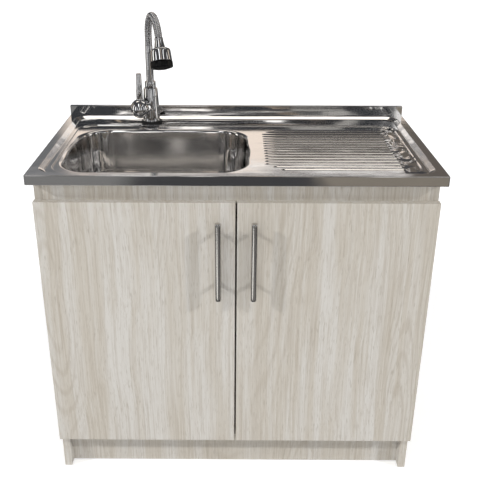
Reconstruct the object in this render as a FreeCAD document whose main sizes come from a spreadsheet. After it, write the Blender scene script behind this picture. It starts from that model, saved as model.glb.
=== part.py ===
# Kitchen sink unit, 900 mm wide: oak-look base cabinet, pressed stainless top and flexible-neck tap.
# Millimetres. X to the right, Y to the back, Z up; the origin is on the floor under the middle of the unit.
import FreeCAD
import Part
import math
import os
import re
import Sketcher

# ---------------------------------------------------------------- driving sizes
SIZES = {
    # sink top
    "sink_width": 900, "sink_depth": 500, "sheet": 0.8, "skirt_height": 22,
    "border": 19, "slope_run": 13, "recess_depth": 6.2, "recess_corner": 38,
    "upstand_height": 26.5, "upstand_depth": 10, "back_border": 5,
    "pan_side": 41, "pan_front": 36, "pan_back": 83, "pan_corner": 48, "step_depth": 2.5,
    "bowl_left": 57.5, "bowl_front": 47.5, "bowl_back": 124.5, "bowl_length": 418, "bowl_corner": 77,
    "bowl_depth": 145, "bowl_draft": 4, "bowl_rim_radius": 8, "bowl_floor_radius": 45,
    "bead_clear": 40.5, "bead_side": 78, "bead_front": 65, "bead_back": 117.5, "bead_width": 9,
    "bead_height": 1.5, "bead_count": 17,
    # cabinet boards
    "board": 18, "side_overhang": 11, "rear_overhang": 3.5, "panel_height": 797, "glide_height": 3,
    "plinth_height": 100, "seal_height": 6.2, "seal_width": 4.4, "seal_inset": 1,
    "seal_gap": 0.3,
    "rail_height": 56, "rail_drop": 10, "rail_setback": 0.5, "rear_rail_height": 90, "toe_setback": 25,
    "back_board": 3, "back_inset": 14, "groove_depth": 5, "groove_play": 0.3,
    "service_width": 300, "service_height": 220, "service_lift": 160, "service_left": 110,
    "glide_radius": 7, "glide_inset": 32,
    "screw_radius": 3.2, "screw_length": 48, "screw_head_radius": 5, "screw_head_height": 3,
    "screw_inset": 60, "fit_play": 0.05,
    # doors
    "door_drop": 57, "door_thickness": 18, "door_gap": 2.5, "door_setback": 8, "door_over": 1,
    "door_split": 4, "arris": 0.8, "bumper_radius": 4, "bumper_inset": 60, "bumper_play": 0.1,
    # door hinges
    "cup_radius": 17.5, "cup_wall": 1, "cup_depth": 13.5, "cup_edge": 3, "cup_height": 90,
    "cup_floor_play": 0.2, "cup_flange_width": 12, "cup_flange_height": 56, "cup_flange": 1,
    "pin_radius": 1.25, "pin_inset": 7.2, "pin_depth": 9.5, "pin_play": 0.06, "seat_play": 0.02, "hub_radius": 2.3,
    "arm_width": 8, "arm_metal": 2, "arm_reach": 60, "arm_foot_width": 15,
    "plate_metal": 3, "plate_setback": 22, "plate_length": 38, "plate_height": 52,
    "plate_screw_spread": 32, "wood_screw_radius": 1.9, "wood_screw_length": 13,
    "wood_screw_head": 3.4, "wood_screw_head_height": 1.8,
    # door handles
    "handle_radius": 7, "handle_length": 188, "handle_centres": 128, "handle_reach": 35,
    "handle_drop": 36, "handle_inset": 37.5, "handle_cap": 8, "post_radius": 5,
    "post_thread_depth": 10, "bolt_radius": 2, "bolt_bite": 8, "bolt_head": 4, "bolt_head_height": 2.5,
    # sink clips
    "clip_metal": 2, "clip_drop": 32, "clip_width": 20, "clip_inset": 110, "clip_play": 1,
    # drain
    "drain_flange_radius": 56, "drain_flange": 1.5, "drain_cup_radius": 43, "drain_wall": 2,
    "drain_cup_height": 45, "outlet_radius": 22, "outlet_length": 28, "drain_hole_play": 0.3,
    "gasket_metal": 3, "gasket_margin": 2, "drain_nut_height": 9, "drain_nut_radius": 54,
    "drain_notch": 8, "basket_play": 0.8, "basket_wall": 1, "basket_height": 25, "basket_lift": 12,
    "plug_radius": 22, "plug_height": 4, "stem_radius": 3, "knob_radius": 9, "knob_height": 6,
    "basket_hole_radius": 2.2, "basket_hole_count": 12,
    "tail_radius": 20, "tail_length": 60, "tail_collar": 9, "tail_nut_wall": 5, "tail_nut_grip": 9,
    # tap body
    "tap_from_left": 226, "tap_from_back": 55, "tap_gasket_radius": 26.5, "tap_gasket_height": 5,
    "tap_foot_radius": 23, "tap_top_radius": 18, "tap_height": 91, "tap_bore_depth": 34,
    "branch_height": 42.6, "branch_radius": 18, "branch_length": 27, "branch_bore": 14.5,
    "branch_bore_start": 3, "lever_azimuth": 225,
    "shank_radius": 16, "shank_length": 62, "shank_bore": 11, "tap_hole_play": 1.5,
    "washer_radius": 27, "washer_height": 4, "tap_nut_radius": 24, "tap_nut_height": 10,
    "inlet_radius": 5, "inlet_bore": 3.5, "inlet_root": 0.5, "inlet_length": 20, "inlet_bite": 14,
    "inlet_spread": 15,
    # tap cartridge and lever
    "cartridge_length": 21, "cartridge_play": 0.2, "pivot_reach": 37, "ball_radius": 21,
    "ball_start": 28, "ball_end": 44, "carrier_radius": 8, "carrier_play": 0.06, "carrier_end": 41,
    "carrier_slot": 6.6, "carrier_slot_start": 31, "lever_pin_radius": 1.5,
    "spindle_width": 6, "spindle_height": 5, "spindle_start": 33.5, "spindle_play": 0.1,
    "cap_radius": 25, "cap_cavity": 21.6, "cap_skirt": 8, "cap_socket_floor": 57,
    "boss_radius": 8.5, "boss_top": 26.5, "sleeve_radius": 8.3, "sleeve_top": 50,
    "rod_base_radius": 7.5, "rod_tip_radius": 6.9, "rod_top": 91.5, "rod_round": 3,
    "rod_spigot_radius": 4, "rod_spigot_length": 10,
    # spout
    "collar_radius": 14, "collar_height": 18, "neck_radius": 9.5, "neck_wall": 1.5, "neck_play": 0.08,
    "neck_top": 182, "spigot_depth": 30, "hose_crest_radius": 9.2, "hose_valley_radius": 8.3,
    "hose_bore_radius": 5, "hose_lead": 18, "hose_rise": 25.5, "ferrule_play": 0.05, "rib_count": 42,
    "crest_radius": 54, "fall_radius": 68, "head_tilt": 21, "spout_azimuth": 18.5,
    # spray head
    "head_length": 71, "head_mouth_radius": 9.9, "head_neck_radius": 13.6, "head_neck_height": 24,
    "shoulder_radius": 24.5, "shoulder_drop": 4, "bell_radius": 26.5, "shoulder_round": 6, "bell_wall": 2,
    "rim_height": 15, "rim_radius": 27.3, "rim_inner_radius": 22, "rim_lobes": 12,
    "rim_flute_radius": 5, "rim_flute_bite": 0.9, "rim_play": 0.3, "face_proud": 3,
    "face_nose_radius": 15, "face_height": 4, "face_play": 0.05, "jet_radius": 0.8, "jet_count": 12, "jet_circle": 12,
}

# ---------------------------------------------------------------- planes and levels, worked out from the sizes
PLANES = {
    "front_y": "(handle_reach - door_setback - sink_depth) / 2",
    "door_y": "front_y + door_setback",
    "door_back_y": "door_y + door_thickness",
    "panel_y": "door_back_y + door_gap",
    "panel_end_y": "front_y + sink_depth - rear_overhang",
    "panel_depth": "panel_end_y - panel_y",
    "carcass_width": "sink_width - 2 * side_overhang",
    "side_x": "carcass_width / 2 - board",
    "span_x": "carcass_width - 2 * board",
    "base_z": "glide_height + plinth_height",
    "panel_top": "glide_height + panel_height",
    "deck_z": "panel_top + seal_height + sheet",
    "field_z": "deck_z - recess_depth",
    "pan_z": "field_z - step_depth",
    "floor_z": "pan_z - bowl_depth",
    "door_height": "panel_height - plinth_height - door_drop",
    "door_width": "(carcass_width + 2 * door_over - door_split) / 2",
    "rail_z": "panel_top - rail_drop - rail_height",
    "cup_inset": "cup_edge + cup_radius",
    "pin_y": "door_back_y - pin_depth",
    "low_hinge_z": "base_z + cup_height",
    "high_hinge_z": "base_z + door_height - cup_height",
    "bowl_breadth": "sink_depth - bowl_front - bowl_back",
    "bowl_x": "bowl_left + bowl_length / 2 - sink_width / 2",
    "bowl_y": "front_y + bowl_front + bowl_breadth / 2",
    "bead_start": "bowl_left + bowl_length + bead_clear",
    "bead_length": "sink_width - bead_side - bead_start",
    "bead_pitch": "(sink_depth - bead_front - bead_back - bead_width) / (bead_count - 1)",
    "tap_from_front": "sink_depth - tap_from_back",
    "tap_x": "tap_from_left - sink_width / 2",
    "tap_y": "front_y + tap_from_front",
    "handle_y": "door_y - handle_reach + handle_radius",
    "handle_top_z": "base_z + door_height - handle_drop",
    "crest_z": "neck_top + hose_lead + hose_rise + crest_radius",
    "head_run": "crest_radius + fall_radius * cos(head_tilt) + head_length * sin(head_tilt)",
    "head_z": "crest_z - fall_radius * (1 - sin(head_tilt)) - head_length * cos(head_tilt)",
    "drain_drop": "outlet_length + drain_cup_height",
    "cup_under_z": "floor_z - sheet",
}

doc = FreeCAD.newDocument("KitchenSinkUnit")
sheet = doc.addObject("Spreadsheet::Sheet", "Sizes")
for row, (alias, number) in enumerate(SIZES.items(), start=1):
    sheet.set(f"A{row}", alias)
    sheet.set(f"B{row}", str(number))
    sheet.setAlias(f"B{row}", alias)
doc.recompute()

probe = doc.addObject("App::FeaturePython", "Probe")
probe.addProperty("App::PropertyFloat", "Reading")

LEFT = -1
RIGHT = 1
SIDES = (("left", LEFT), ("right", RIGHT))
TOLERANCE = 0.01
nodes = []


def cells(text):
    """Writes out plane names, and points every size name at its cell of the sheet."""
    def word(match):
        name = match.group()
        if name in PLANES:
            return "(" + cells(PLANES[name]) + ")"
        return "Sizes." + name if name in SIZES else name
    return re.sub(r"[a-z_]+", word, str(text))


def bind(obj, **sizes):
    for prop, text in sizes.items():
        obj.setExpression(prop, cells(text))
    return obj


def value(text):
    """Reads what an expression comes to now, for a sketch's first shape and for a computed surface."""
    probe.setExpression("Reading", cells(text))
    probe.recompute()
    return probe.Reading


def place(obj, x="0", y="0", z="0", turn=("0", "0", "0")):
    spot = f"vector({cells(x)}; {cells(y)}; {cells(z)})"
    yaw, pitch, roll = (cells(angle) for angle in turn)
    obj.setExpression("Placement", f"placement({spot}; rotation({yaw}; {pitch}; {roll}))")
    return obj


def box(name, length, width, height, x="0", y="0", z="0"):
    solid = bind(doc.addObject("Part::Box", name), Length=length, Width=width, Height=height)
    return place(solid, x, y, z)


def centred_box(name, length, width, height, x="0", y="0", z="0"):
    corner = [f"{at} - ({span}) / 2" for at, span in ((x, length), (y, width), (z, height))]
    return box(name, length, width, height, *corner)


ALONG_X = ("0", "90", "0")
ALONG_MINUS_X = ("0", "-90", "0")
ALONG_Y = ("0", "0", "-90")
ALONG_MINUS_Y = ("0", "0", "90")
UPRIGHT = ("0", "0", "0")


def cylinder(name, radius, height, x="0", y="0", z="0", turn=UPRIGHT):
    solid = bind(doc.addObject("Part::Cylinder", name), Radius=radius, Height=height)
    return place(solid, x, y, z, turn)


def cone(name, foot, top, height, x="0", y="0", z="0", turn=UPRIGHT):
    solid = bind(doc.addObject("Part::Cone", name), Radius1=foot, Radius2=top, Height=height)
    return place(solid, x, y, z, turn)


def fuse(name, *solids):
    joined = doc.addObject("Part::MultiFuse", name)
    joined.Shapes = list(solids)
    return joined


def cut(name, base, *tools):
    tool = tools[0] if len(tools) == 1 else fuse(name + "Tools", *tools)
    result = doc.addObject("Part::Cut", name)
    result.Base = base
    result.Tool = tool
    return result


def group(name, *solids):
    bundle = doc.addObject("Part::Compound", name)
    bundle.Links = list(solids)
    return bundle


def node(obj, label):
    obj.Label = label
    nodes.append(obj)
    return obj


def sketch_on(body, name, role, lift="0"):
    sketch = body.newObject("Sketcher::SketchObject", name)
    plane = [datum for datum in body.Origin.OriginFeatures if datum.Role == role][0]
    sketch.AttachmentSupport = [(plane, "")]
    sketch.MapMode = "FlatFace"
    sketch.setExpression("AttachmentOffset.Base.z", cells(lift))
    return sketch


def pin_vertex(sketch, geometry, end, x, y):
    for kind, text, axis in (("DistanceX", x, -2), ("DistanceY", y, -1)):
        if text == "0":
            sketch.addConstraint(Sketcher.Constraint("PointOnObject", geometry, end, axis))
            continue
        index = sketch.addConstraint(Sketcher.Constraint(kind, -1, 1, geometry, end, value(text)))
        sketch.setExpression(f"Constraints[{index}]", cells(text))


def outline(sketch, points):
    spots = [FreeCAD.Vector(value(x), value(y), 0) for x, y in points]
    for here, there in zip(spots, spots[1:] + spots[:1]):
        sketch.addGeometry(Part.LineSegment(here, there), False)
    count = len(points)
    for index in range(count):
        sketch.addConstraint(Sketcher.Constraint("Coincident", index, 2, (index + 1) % count, 1))
    for index, (x, y) in enumerate(points):
        pin_vertex(sketch, index, 1, x, y)


def circle(sketch, x, y, radius):
    middle = FreeCAD.Vector(value(x), value(y), 0)
    up = FreeCAD.Vector(0, 0, 1)
    index = sketch.addGeometry(Part.Circle(middle, up, value(radius)), False)
    pin_vertex(sketch, index, 3, x, y)
    rule = sketch.addConstraint(Sketcher.Constraint("Radius", index, value(radius)))
    sketch.setExpression(f"Constraints[{rule}]", cells(radius))


def rounded_rectangle(sketch, x0, y0, x1, y1, radius):
    left, front, right, back, bend = (value(text) for text in (x0, y0, x1, y1, radius))
    point = FreeCAD.Vector
    corners = ((left, front, 180), (right, front, 270), (right, back, 0), (left, back, 90))
    inward = ((1, 1), (-1, 1), (-1, -1), (1, -1))
    for (x, y, start), (dx, dy) in zip(corners, inward):
        middle = point(x + dx * bend, y + dy * bend, 0)
        arc = Part.Circle(middle, point(0, 0, 1), bend)
        sketch.addGeometry(Part.ArcOfCircle(arc, math.radians(start), math.radians(start + 90)), False)
    sides = (((left + bend, front), (right - bend, front)), ((right, front + bend), (right, back - bend)),
             ((right - bend, back), (left + bend, back)), ((left, back - bend), (left, front + bend)))
    for start, end in sides:
        sketch.addGeometry(Part.LineSegment(point(*start, 0), point(*end, 0)), False)
    for index in range(4):
        side = index + 4
        sketch.addConstraint(Sketcher.Constraint("Tangent", index, 2, side, 1))
        sketch.addConstraint(Sketcher.Constraint("Tangent", side, 2, (index + 1) % 4, 1))
        if index:
            sketch.addConstraint(Sketcher.Constraint("Equal", 0, index))
    for side, rule in ((4, "Horizontal"), (5, "Vertical"), (6, "Horizontal"), (7, "Vertical")):
        sketch.addConstraint(Sketcher.Constraint(rule, side))
    limits = ((7, "DistanceX", x0), (4, "DistanceY", y0), (5, "DistanceX", x1), (6, "DistanceY", y1))
    for side, rule, text in limits:
        index = sketch.addConstraint(Sketcher.Constraint(rule, -1, 1, side, 1, value(text)))
        sketch.setExpression(f"Constraints[{index}]", cells(text))
    index = sketch.addConstraint(Sketcher.Constraint("Radius", 0, bend))
    sketch.setExpression(f"Constraints[{index}]", cells(radius))


def pad(body, name, sketch, length, down=False):
    feature = body.newObject("PartDesign::Pad", name)
    feature.Profile = sketch
    feature.Reversed = down
    bind(feature, Length=length)
    doc.recompute()
    return feature


def pocket(body, name, sketch, length, down=True):
    before = body.Shape.Volume
    feature = body.newObject("PartDesign::Pocket", name)
    feature.Profile = sketch
    feature.Reversed = not down
    bind(feature, Length=length)
    doc.recompute()
    if body.Shape.Volume > before - TOLERANCE:
        raise RuntimeError(name + " cuts nothing")
    return feature


def row_of(body, name, feature, axis, length, count):
    pattern = body.newObject("PartDesign::LinearPattern", name)
    pattern.Originals = [feature]
    direction = [datum for datum in body.Origin.OriginFeatures if datum.Role == axis][0]
    pattern.Direction = (direction, [""])
    bind(pattern, Length=length, Occurrences=count)
    body.Tip = pattern
    doc.recompute()
    return pattern


def ring_of(body, name, feature, count):
    pattern = body.newObject("PartDesign::PolarPattern", name)
    pattern.Originals = [feature]
    axis = [datum for datum in body.Origin.OriginFeatures if datum.Role == "Z_Axis"][0]
    pattern.Axis = (axis, [""])
    pattern.Angle = 360
    bind(pattern, Occurrences=count)
    body.Tip = pattern
    doc.recompute()
    return pattern


def dress(body, name, kind, size, chosen):
    """Rounds or chamfers the edges of the body's last feature that the chooser picks."""
    base = body.Tip
    picked = [f"Edge{number}" for number, edge in enumerate(base.Shape.Edges, start=1) if chosen(edge)]
    feature = body.newObject("PartDesign::" + kind, name)
    feature.Base = (base, picked)
    bind(feature, **{"Radius" if kind == "Fillet" else "Size": size})
    doc.recompute()
    return feature


def turned(name, points):
    """A body turned about its Z axis from a closed outline of radius and height."""
    body = doc.addObject("PartDesign::Body", name)
    profile = sketch_on(body, name + "Profile", "XZ_Plane")
    outline(profile, points)
    turn = body.newObject("PartDesign::Revolution", name + "Turn")
    turn.Profile = profile
    turn.ReferenceAxis = (profile, ["V_Axis"])
    turn.Angle = 360
    doc.recompute()
    return body


def at_height(edge, height):
    bounds = edge.BoundBox
    return abs(bounds.ZMin - height) < TOLERANCE and abs(bounds.ZMax - height) < TOLERANCE


def round_edge(edge, radius, height):
    """Whether an edge is a full circle of this radius about the Z axis, at this height."""
    bounds = edge.BoundBox
    return at_height(edge, height) and abs(bounds.XMax - radius) < TOLERANCE


# ---------------------------------------------------------------- sink top: one pressed sheet
# Its own origin is the front left corner of the deck, at deck level.
sink = doc.addObject("PartDesign::Body", "SinkTop")
deck = sketch_on(sink, "DeckOutline", "XY_Plane")
outline(deck, [("0", "0"), ("sink_width", "0"), ("sink_width", "sink_depth"), ("0", "sink_depth")])
pad(sink, "Deck", deck, "skirt_height", down=True)
upstand = sketch_on(sink, "UpstandOutline", "XY_Plane")
upstand_y = "sink_depth - upstand_depth"
outline(upstand, [("0", upstand_y), ("sink_width", upstand_y), ("sink_width", "sink_depth"),
                  ("0", "sink_depth")])
pad(sink, "Upstand", upstand, "upstand_height")
under = sketch_on(sink, "UndersideOutline", "XY_Plane", "-sheet")
outline(under, [("sheet", "sheet"), ("sink_width - sheet", "sheet"),
                ("sink_width - sheet", "sink_depth - sheet"), ("sheet", "sink_depth - sheet")])
pocket(sink, "Underside", under, "skirt_height")
fold = sketch_on(sink, "FoldOutline", "XY_Plane", "upstand_height - sheet")
fold_y = "sink_depth - upstand_depth + sheet"
outline(fold, [("sheet", fold_y), ("sink_width - sheet", fold_y),
               ("sink_width - sheet", "sink_depth - sheet"), ("sheet", "sink_depth - sheet")])
pocket(sink, "UpstandFold", fold, "upstand_height")

recess_limits = ("border", "border", "sink_width - border",
                 "sink_depth - upstand_depth - back_border")
pan_limits = ("pan_side", "pan_front", "sink_width - pan_side", "sink_depth - pan_back")
bowl_limits = ("bowl_left", "bowl_front", "bowl_left + bowl_length", "bowl_front + bowl_breadth")
slope_angle = "atan(slope_run / recess_depth)"


def grown(limits, by):
    return [f"{limits[0]} - {by}", f"{limits[1]} - {by}", f"{limits[2]} + {by}", f"{limits[3]} + {by}"]


def pressing(feature, name, limits, corner, top, depth, angle):
    """A pad or pocket that goes down from the given level with drawn-in sides."""
    shape = sketch_on(sink, name + "Outline", "XY_Plane", top)
    rounded_rectangle(shape, *limits, corner)
    if feature is pad:
        made = pad(sink, name, shape, depth, down=True)
    else:
        made = pocket(sink, name, shape, depth)
    if angle != "0":
        bind(made, TaperAngle=f"-({angle})")
        doc.recompute()
    return made


def bowl_edge(edge, level):
    """Whether an edge runs round the bowl at this level, given as a depth below the deck."""
    bounds = edge.BoundBox
    within = value("bowl_left - 2 * sheet") < bounds.XMin and bounds.XMax < value(
        "bowl_left + bowl_length + 2 * sheet")
    return within and at_height(edge, -value(level))


pressing(pad, "RecessUnderside", grown(recess_limits, "sheet"), "recess_corner + sheet",
         "-sheet", "recess_depth", slope_angle)
pressing(pad, "PanUnderside", grown(pan_limits, "sheet"), "pan_corner + sheet",
         "-recess_depth - sheet / 2", "step_depth + sheet / 2", "0")
pressing(pad, "BowlUnderside", grown(bowl_limits, "sheet"), "bowl_corner + sheet",
         "-recess_depth - step_depth - sheet / 2", "bowl_depth + sheet / 2", "bowl_draft")
pressing(pocket, "Recess", recess_limits, "recess_corner", "0", "recess_depth", slope_angle)
pressing(pocket, "Pan", pan_limits, "pan_corner", "-recess_depth", "step_depth", "0")
pressing(pocket, "Bowl", bowl_limits, "bowl_corner", "-recess_depth - step_depth", "bowl_depth",
         "bowl_draft")
pan_level = "recess_depth + step_depth"
floor_level = "recess_depth + step_depth + bowl_depth"
dress(sink, "BowlFloor", "Fillet", "bowl_floor_radius", lambda edge: bowl_edge(edge, floor_level))
dress(sink, "BowlFloorUnder", "Fillet", "bowl_floor_radius + sheet",
      lambda edge: bowl_edge(edge, floor_level + " + sheet"))
dress(sink, "BowlRimUnder", "Fillet", "bowl_rim_radius - sheet",
      lambda edge: bowl_edge(edge, pan_level + " + sheet"))
dress(sink, "BowlRim", "Fillet", "bowl_rim_radius", lambda edge: bowl_edge(edge, pan_level))

bead = sketch_on(sink, "BeadOutline", "XY_Plane", "-recess_depth - step_depth")
outline(bead, [("bead_start", "bead_front"), ("bead_start + bead_length", "bead_front"),
               ("bead_start + bead_length", "bead_front + bead_width"),
               ("bead_start", "bead_front + bead_width")])
bead_pad = pad(sink, "Bead", bead, "bead_height")
row_of(sink, "Beads", bead_pad, "Y_Axis", "bead_pitch * (bead_count - 1)", "bead_count")
hollow = sketch_on(sink, "BeadHollowOutline", "XY_Plane", "-recess_depth - step_depth - sheet")
outline(hollow, [("bead_start + sheet", "bead_front + sheet"),
                 ("bead_start + bead_length - sheet", "bead_front + sheet"),
                 ("bead_start + bead_length - sheet", "bead_front + bead_width - sheet"),
                 ("bead_start + sheet", "bead_front + bead_width - sheet")])
bead_pocket = pocket(sink, "BeadHollow", hollow, "bead_height", down=False)
row_of(sink, "BeadHollows", bead_pocket, "Y_Axis", "bead_pitch * (bead_count - 1)", "bead_count")
openings = sketch_on(sink, "OpeningsOutline", "XY_Plane", "-recess_depth")
circle(openings, "tap_from_left", "tap_from_front", "shank_radius + tap_hole_play")
circle(openings, "bowl_left + bowl_length / 2", "bowl_front + bowl_breadth / 2",
       "drain_cup_radius + drain_hole_play")
pocket(sink, "Openings", openings, "step_depth + bowl_depth + 2 * sheet")
place(sink, "-sink_width / 2", "front_y", "deck_z")
node(sink, "sink_top")

# ---------------------------------------------------------------- cabinet boards
rail_y = "panel_y + rail_setback"
rear_y = "panel_end_y - board"
toe_y = "panel_y + toe_setback"
screw_spots = (
    ("BaseFront", "panel_y + screw_inset", "base_z + board / 2"),
    ("BaseBack", "panel_end_y - screw_inset", "base_z + board / 2"),
    ("FrontRail", rail_y + " + board / 2", "rail_z + rail_height / 2"),
    ("RearRail", rear_y + " + board / 2", "panel_top - rear_rail_height / 2"),
    ("Toe", toe_y + " + board / 2", "glide_height + plinth_height / 2"),
)


def side_screw(name, side, y, z, play):
    """A flush-headed carcass screw, driven through a side panel from outside."""
    turn = ALONG_X if side == LEFT else ALONG_MINUS_X
    outer_x = f"{side} * carcass_width / 2"
    shank = cylinder(name + "Shank", f"screw_radius + {play}", f"screw_length + {play}",
                     outer_x, y, z, turn)
    head = cylinder(name + "Head", f"screw_head_radius + {play}", f"screw_head_height + {play}",
                    outer_x, y, z, turn)
    return fuse(name, head, shank)


carcass_screws = []
screw_holes = []
for side_name, side in SIDES:
    for spot, y, z in screw_spots:
        tag = spot + side_name.title()
        carcass_screws.append(side_screw("Screw" + tag, side, y, z, "0"))
        screw_holes.append(side_screw("ScrewHole" + tag, side, y, z, "fit_play"))
all_screw_holes = fuse("ScrewHoles", *screw_holes)
node(group("CarcassScrews", *carcass_screws), "carcass_screws")


def inner_x(side, inward):
    """A place measured inwards from the inner face of one side panel."""
    return f"{side} * (side_x - ({inward}))"


def wood_screw(name, side, seat, y, z, play):
    """A small screw that goes outwards into a side panel from a metal part's face."""
    turn = ALONG_MINUS_X if side == LEFT else ALONG_X
    shank = cylinder(name + "Shank", f"wood_screw_radius + {play}",
                     f"wood_screw_length + {seat} + {play}", inner_x(side, seat), y, z, turn)
    back = ALONG_X if side == LEFT else ALONG_MINUS_X
    head = cylinder(name + "Head", "wood_screw_head", "wood_screw_head_height",
                    inner_x(side, seat), y, z, back)
    return fuse(name, shank, head)


plate_y = "panel_y + plate_setback + plate_length / 2"
plate_screws = []
clip_screws = []
wood_holes = []
clip_z = "panel_top - clip_drop / 2"
hinge_levels = (("Low", "low_hinge_z"), ("High", "high_hinge_z"))
clip_places = (("Front", "panel_y + clip_inset"), ("Back", "panel_end_y - clip_inset"))
for side_name, side in SIDES:
    for level, z in hinge_levels:
        for end, offset in (("Lower", "-plate_screw_spread / 2"), ("Upper", "+ plate_screw_spread / 2")):
            tag = side_name.title() + level + end
            spot_z = z + offset
            plate_screws.append(wood_screw("PlateScrew" + tag, side, "plate_metal", plate_y, spot_z, "0"))
            wood_holes.append(wood_screw("PlateHole" + tag, side, "plate_metal", plate_y, spot_z,
                                         "fit_play"))
    for end, y in clip_places:
        tag = side_name.title() + end
        clip_screws.append(wood_screw("ClipScrew" + tag, side, "clip_metal", y, clip_z, "0"))
        wood_holes.append(wood_screw("ClipHole" + tag, side, "clip_metal", y, clip_z, "fit_play"))
all_wood_holes = fuse("WoodScrewHoles", *wood_holes)
node(group("PlateScrews", *plate_screws), "plate_screws")
node(group("ClipScrews", *clip_screws), "clip_screws")

back_y = "panel_end_y - back_inset - back_board"
back_z = "base_z + board"
back_height = "panel_top - rear_rail_height - base_z - board"
groove = box("BackGroove", "span_x + 2 * groove_depth", "back_board + groove_play",
             "panel_top - base_z", "-(span_x / 2 + groove_depth)", back_y + " - groove_play / 2", "base_z")
for side_name, side in SIDES:
    x = "-carcass_width / 2" if side == LEFT else "side_x"
    blank = box("SideBlank" + side_name.title(), "board", "panel_depth", "panel_height",
                x, "panel_y", "glide_height")
    panel = cut("SidePanel" + side_name.title(), blank, groove, all_screw_holes, all_wood_holes)
    node(panel, "side_panel_" + side_name)

bottom_blank = box("BottomBlank", "span_x", "panel_depth - back_inset", "board",
                   "-span_x / 2", "panel_y", "base_z")
node(cut("BottomPanel", bottom_blank, all_screw_holes), "bottom_panel")
rail_blank = box("FrontRailBlank", "span_x", "board", "rail_height", "-span_x / 2", rail_y, "rail_z")
node(cut("FrontRail", rail_blank, all_screw_holes), "front_rail")
rear_blank = box("RearRailBlank", "span_x", "board", "rear_rail_height",
                 "-span_x / 2", rear_y, "panel_top - rear_rail_height")
node(cut("RearRail", rear_blank, all_screw_holes), "rear_rail")
toe_blank = box("ToeBlank", "span_x", "board", "plinth_height", "-span_x / 2", toe_y, "glide_height")
node(cut("ToeKick", toe_blank, all_screw_holes), "toe_kick")
back_blank = box("BackBlank", "span_x + 2 * groove_depth - groove_play", "back_board", back_height,
                 "-(span_x / 2 + groove_depth - groove_play / 2)", back_y, back_z)
service = box("ServiceOpening", "service_width", "3 * back_board", "service_height",
              "-side_x + service_left", back_y + " - back_board", back_z + " + service_lift")
node(cut("BackPanel", back_blank, service), "back_panel")

glides = []
for side_name, side in SIDES:
    for end, y in (("Front", "panel_y + glide_inset"), ("Back", "panel_end_y - glide_inset")):
        glides.append(cylinder("Glide" + side_name.title() + end, "glide_radius", "glide_height",
                               f"{side} * (carcass_width - board) / 2", y))
node(group("FloorGlides", *glides), "floor_glides")

# Rubber beads carry the raised border of the sink on the panel tops and the rear rail.
seals = [box("SealBack", "span_x", "seal_width", "seal_height", "-span_x / 2",
             "front_y + sink_depth - upstand_depth - back_border + sheet + seal_gap", "panel_top")]
for side_name, side in SIDES:
    x = "-carcass_width / 2 + seal_inset" if side == LEFT else "carcass_width / 2 - seal_inset - seal_width"
    seals.append(box("Seal" + side_name.title(), "seal_width", "panel_depth - 2 * seal_width",
                     "seal_height", x, "panel_y + seal_width", "panel_top"))
node(group("SealStrips", *seals), "seal_strips")

clip_reach = "side_x + pan_side - sink_width / 2 - sheet - clip_play"
clips = []
for side_name, side in SIDES:
    for end, y in clip_places:
        tag = side_name.title() + end
        upright = centred_box("ClipUpright" + tag, "clip_metal", "clip_width", "clip_drop",
                              inner_x(side, "clip_metal / 2"), y, clip_z)
        tongue = centred_box("ClipTongue" + tag, clip_reach, "clip_width", "clip_metal",
                             inner_x(side, f"({clip_reach}) / 2"), y,
                             "field_z - sheet - clip_metal / 2")
        clips.append(cut("Clip" + tag, fuse("ClipBlank" + tag, upright, tongue), all_wood_holes))
node(group("SinkClips", *clips), "sink_clips")

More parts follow.
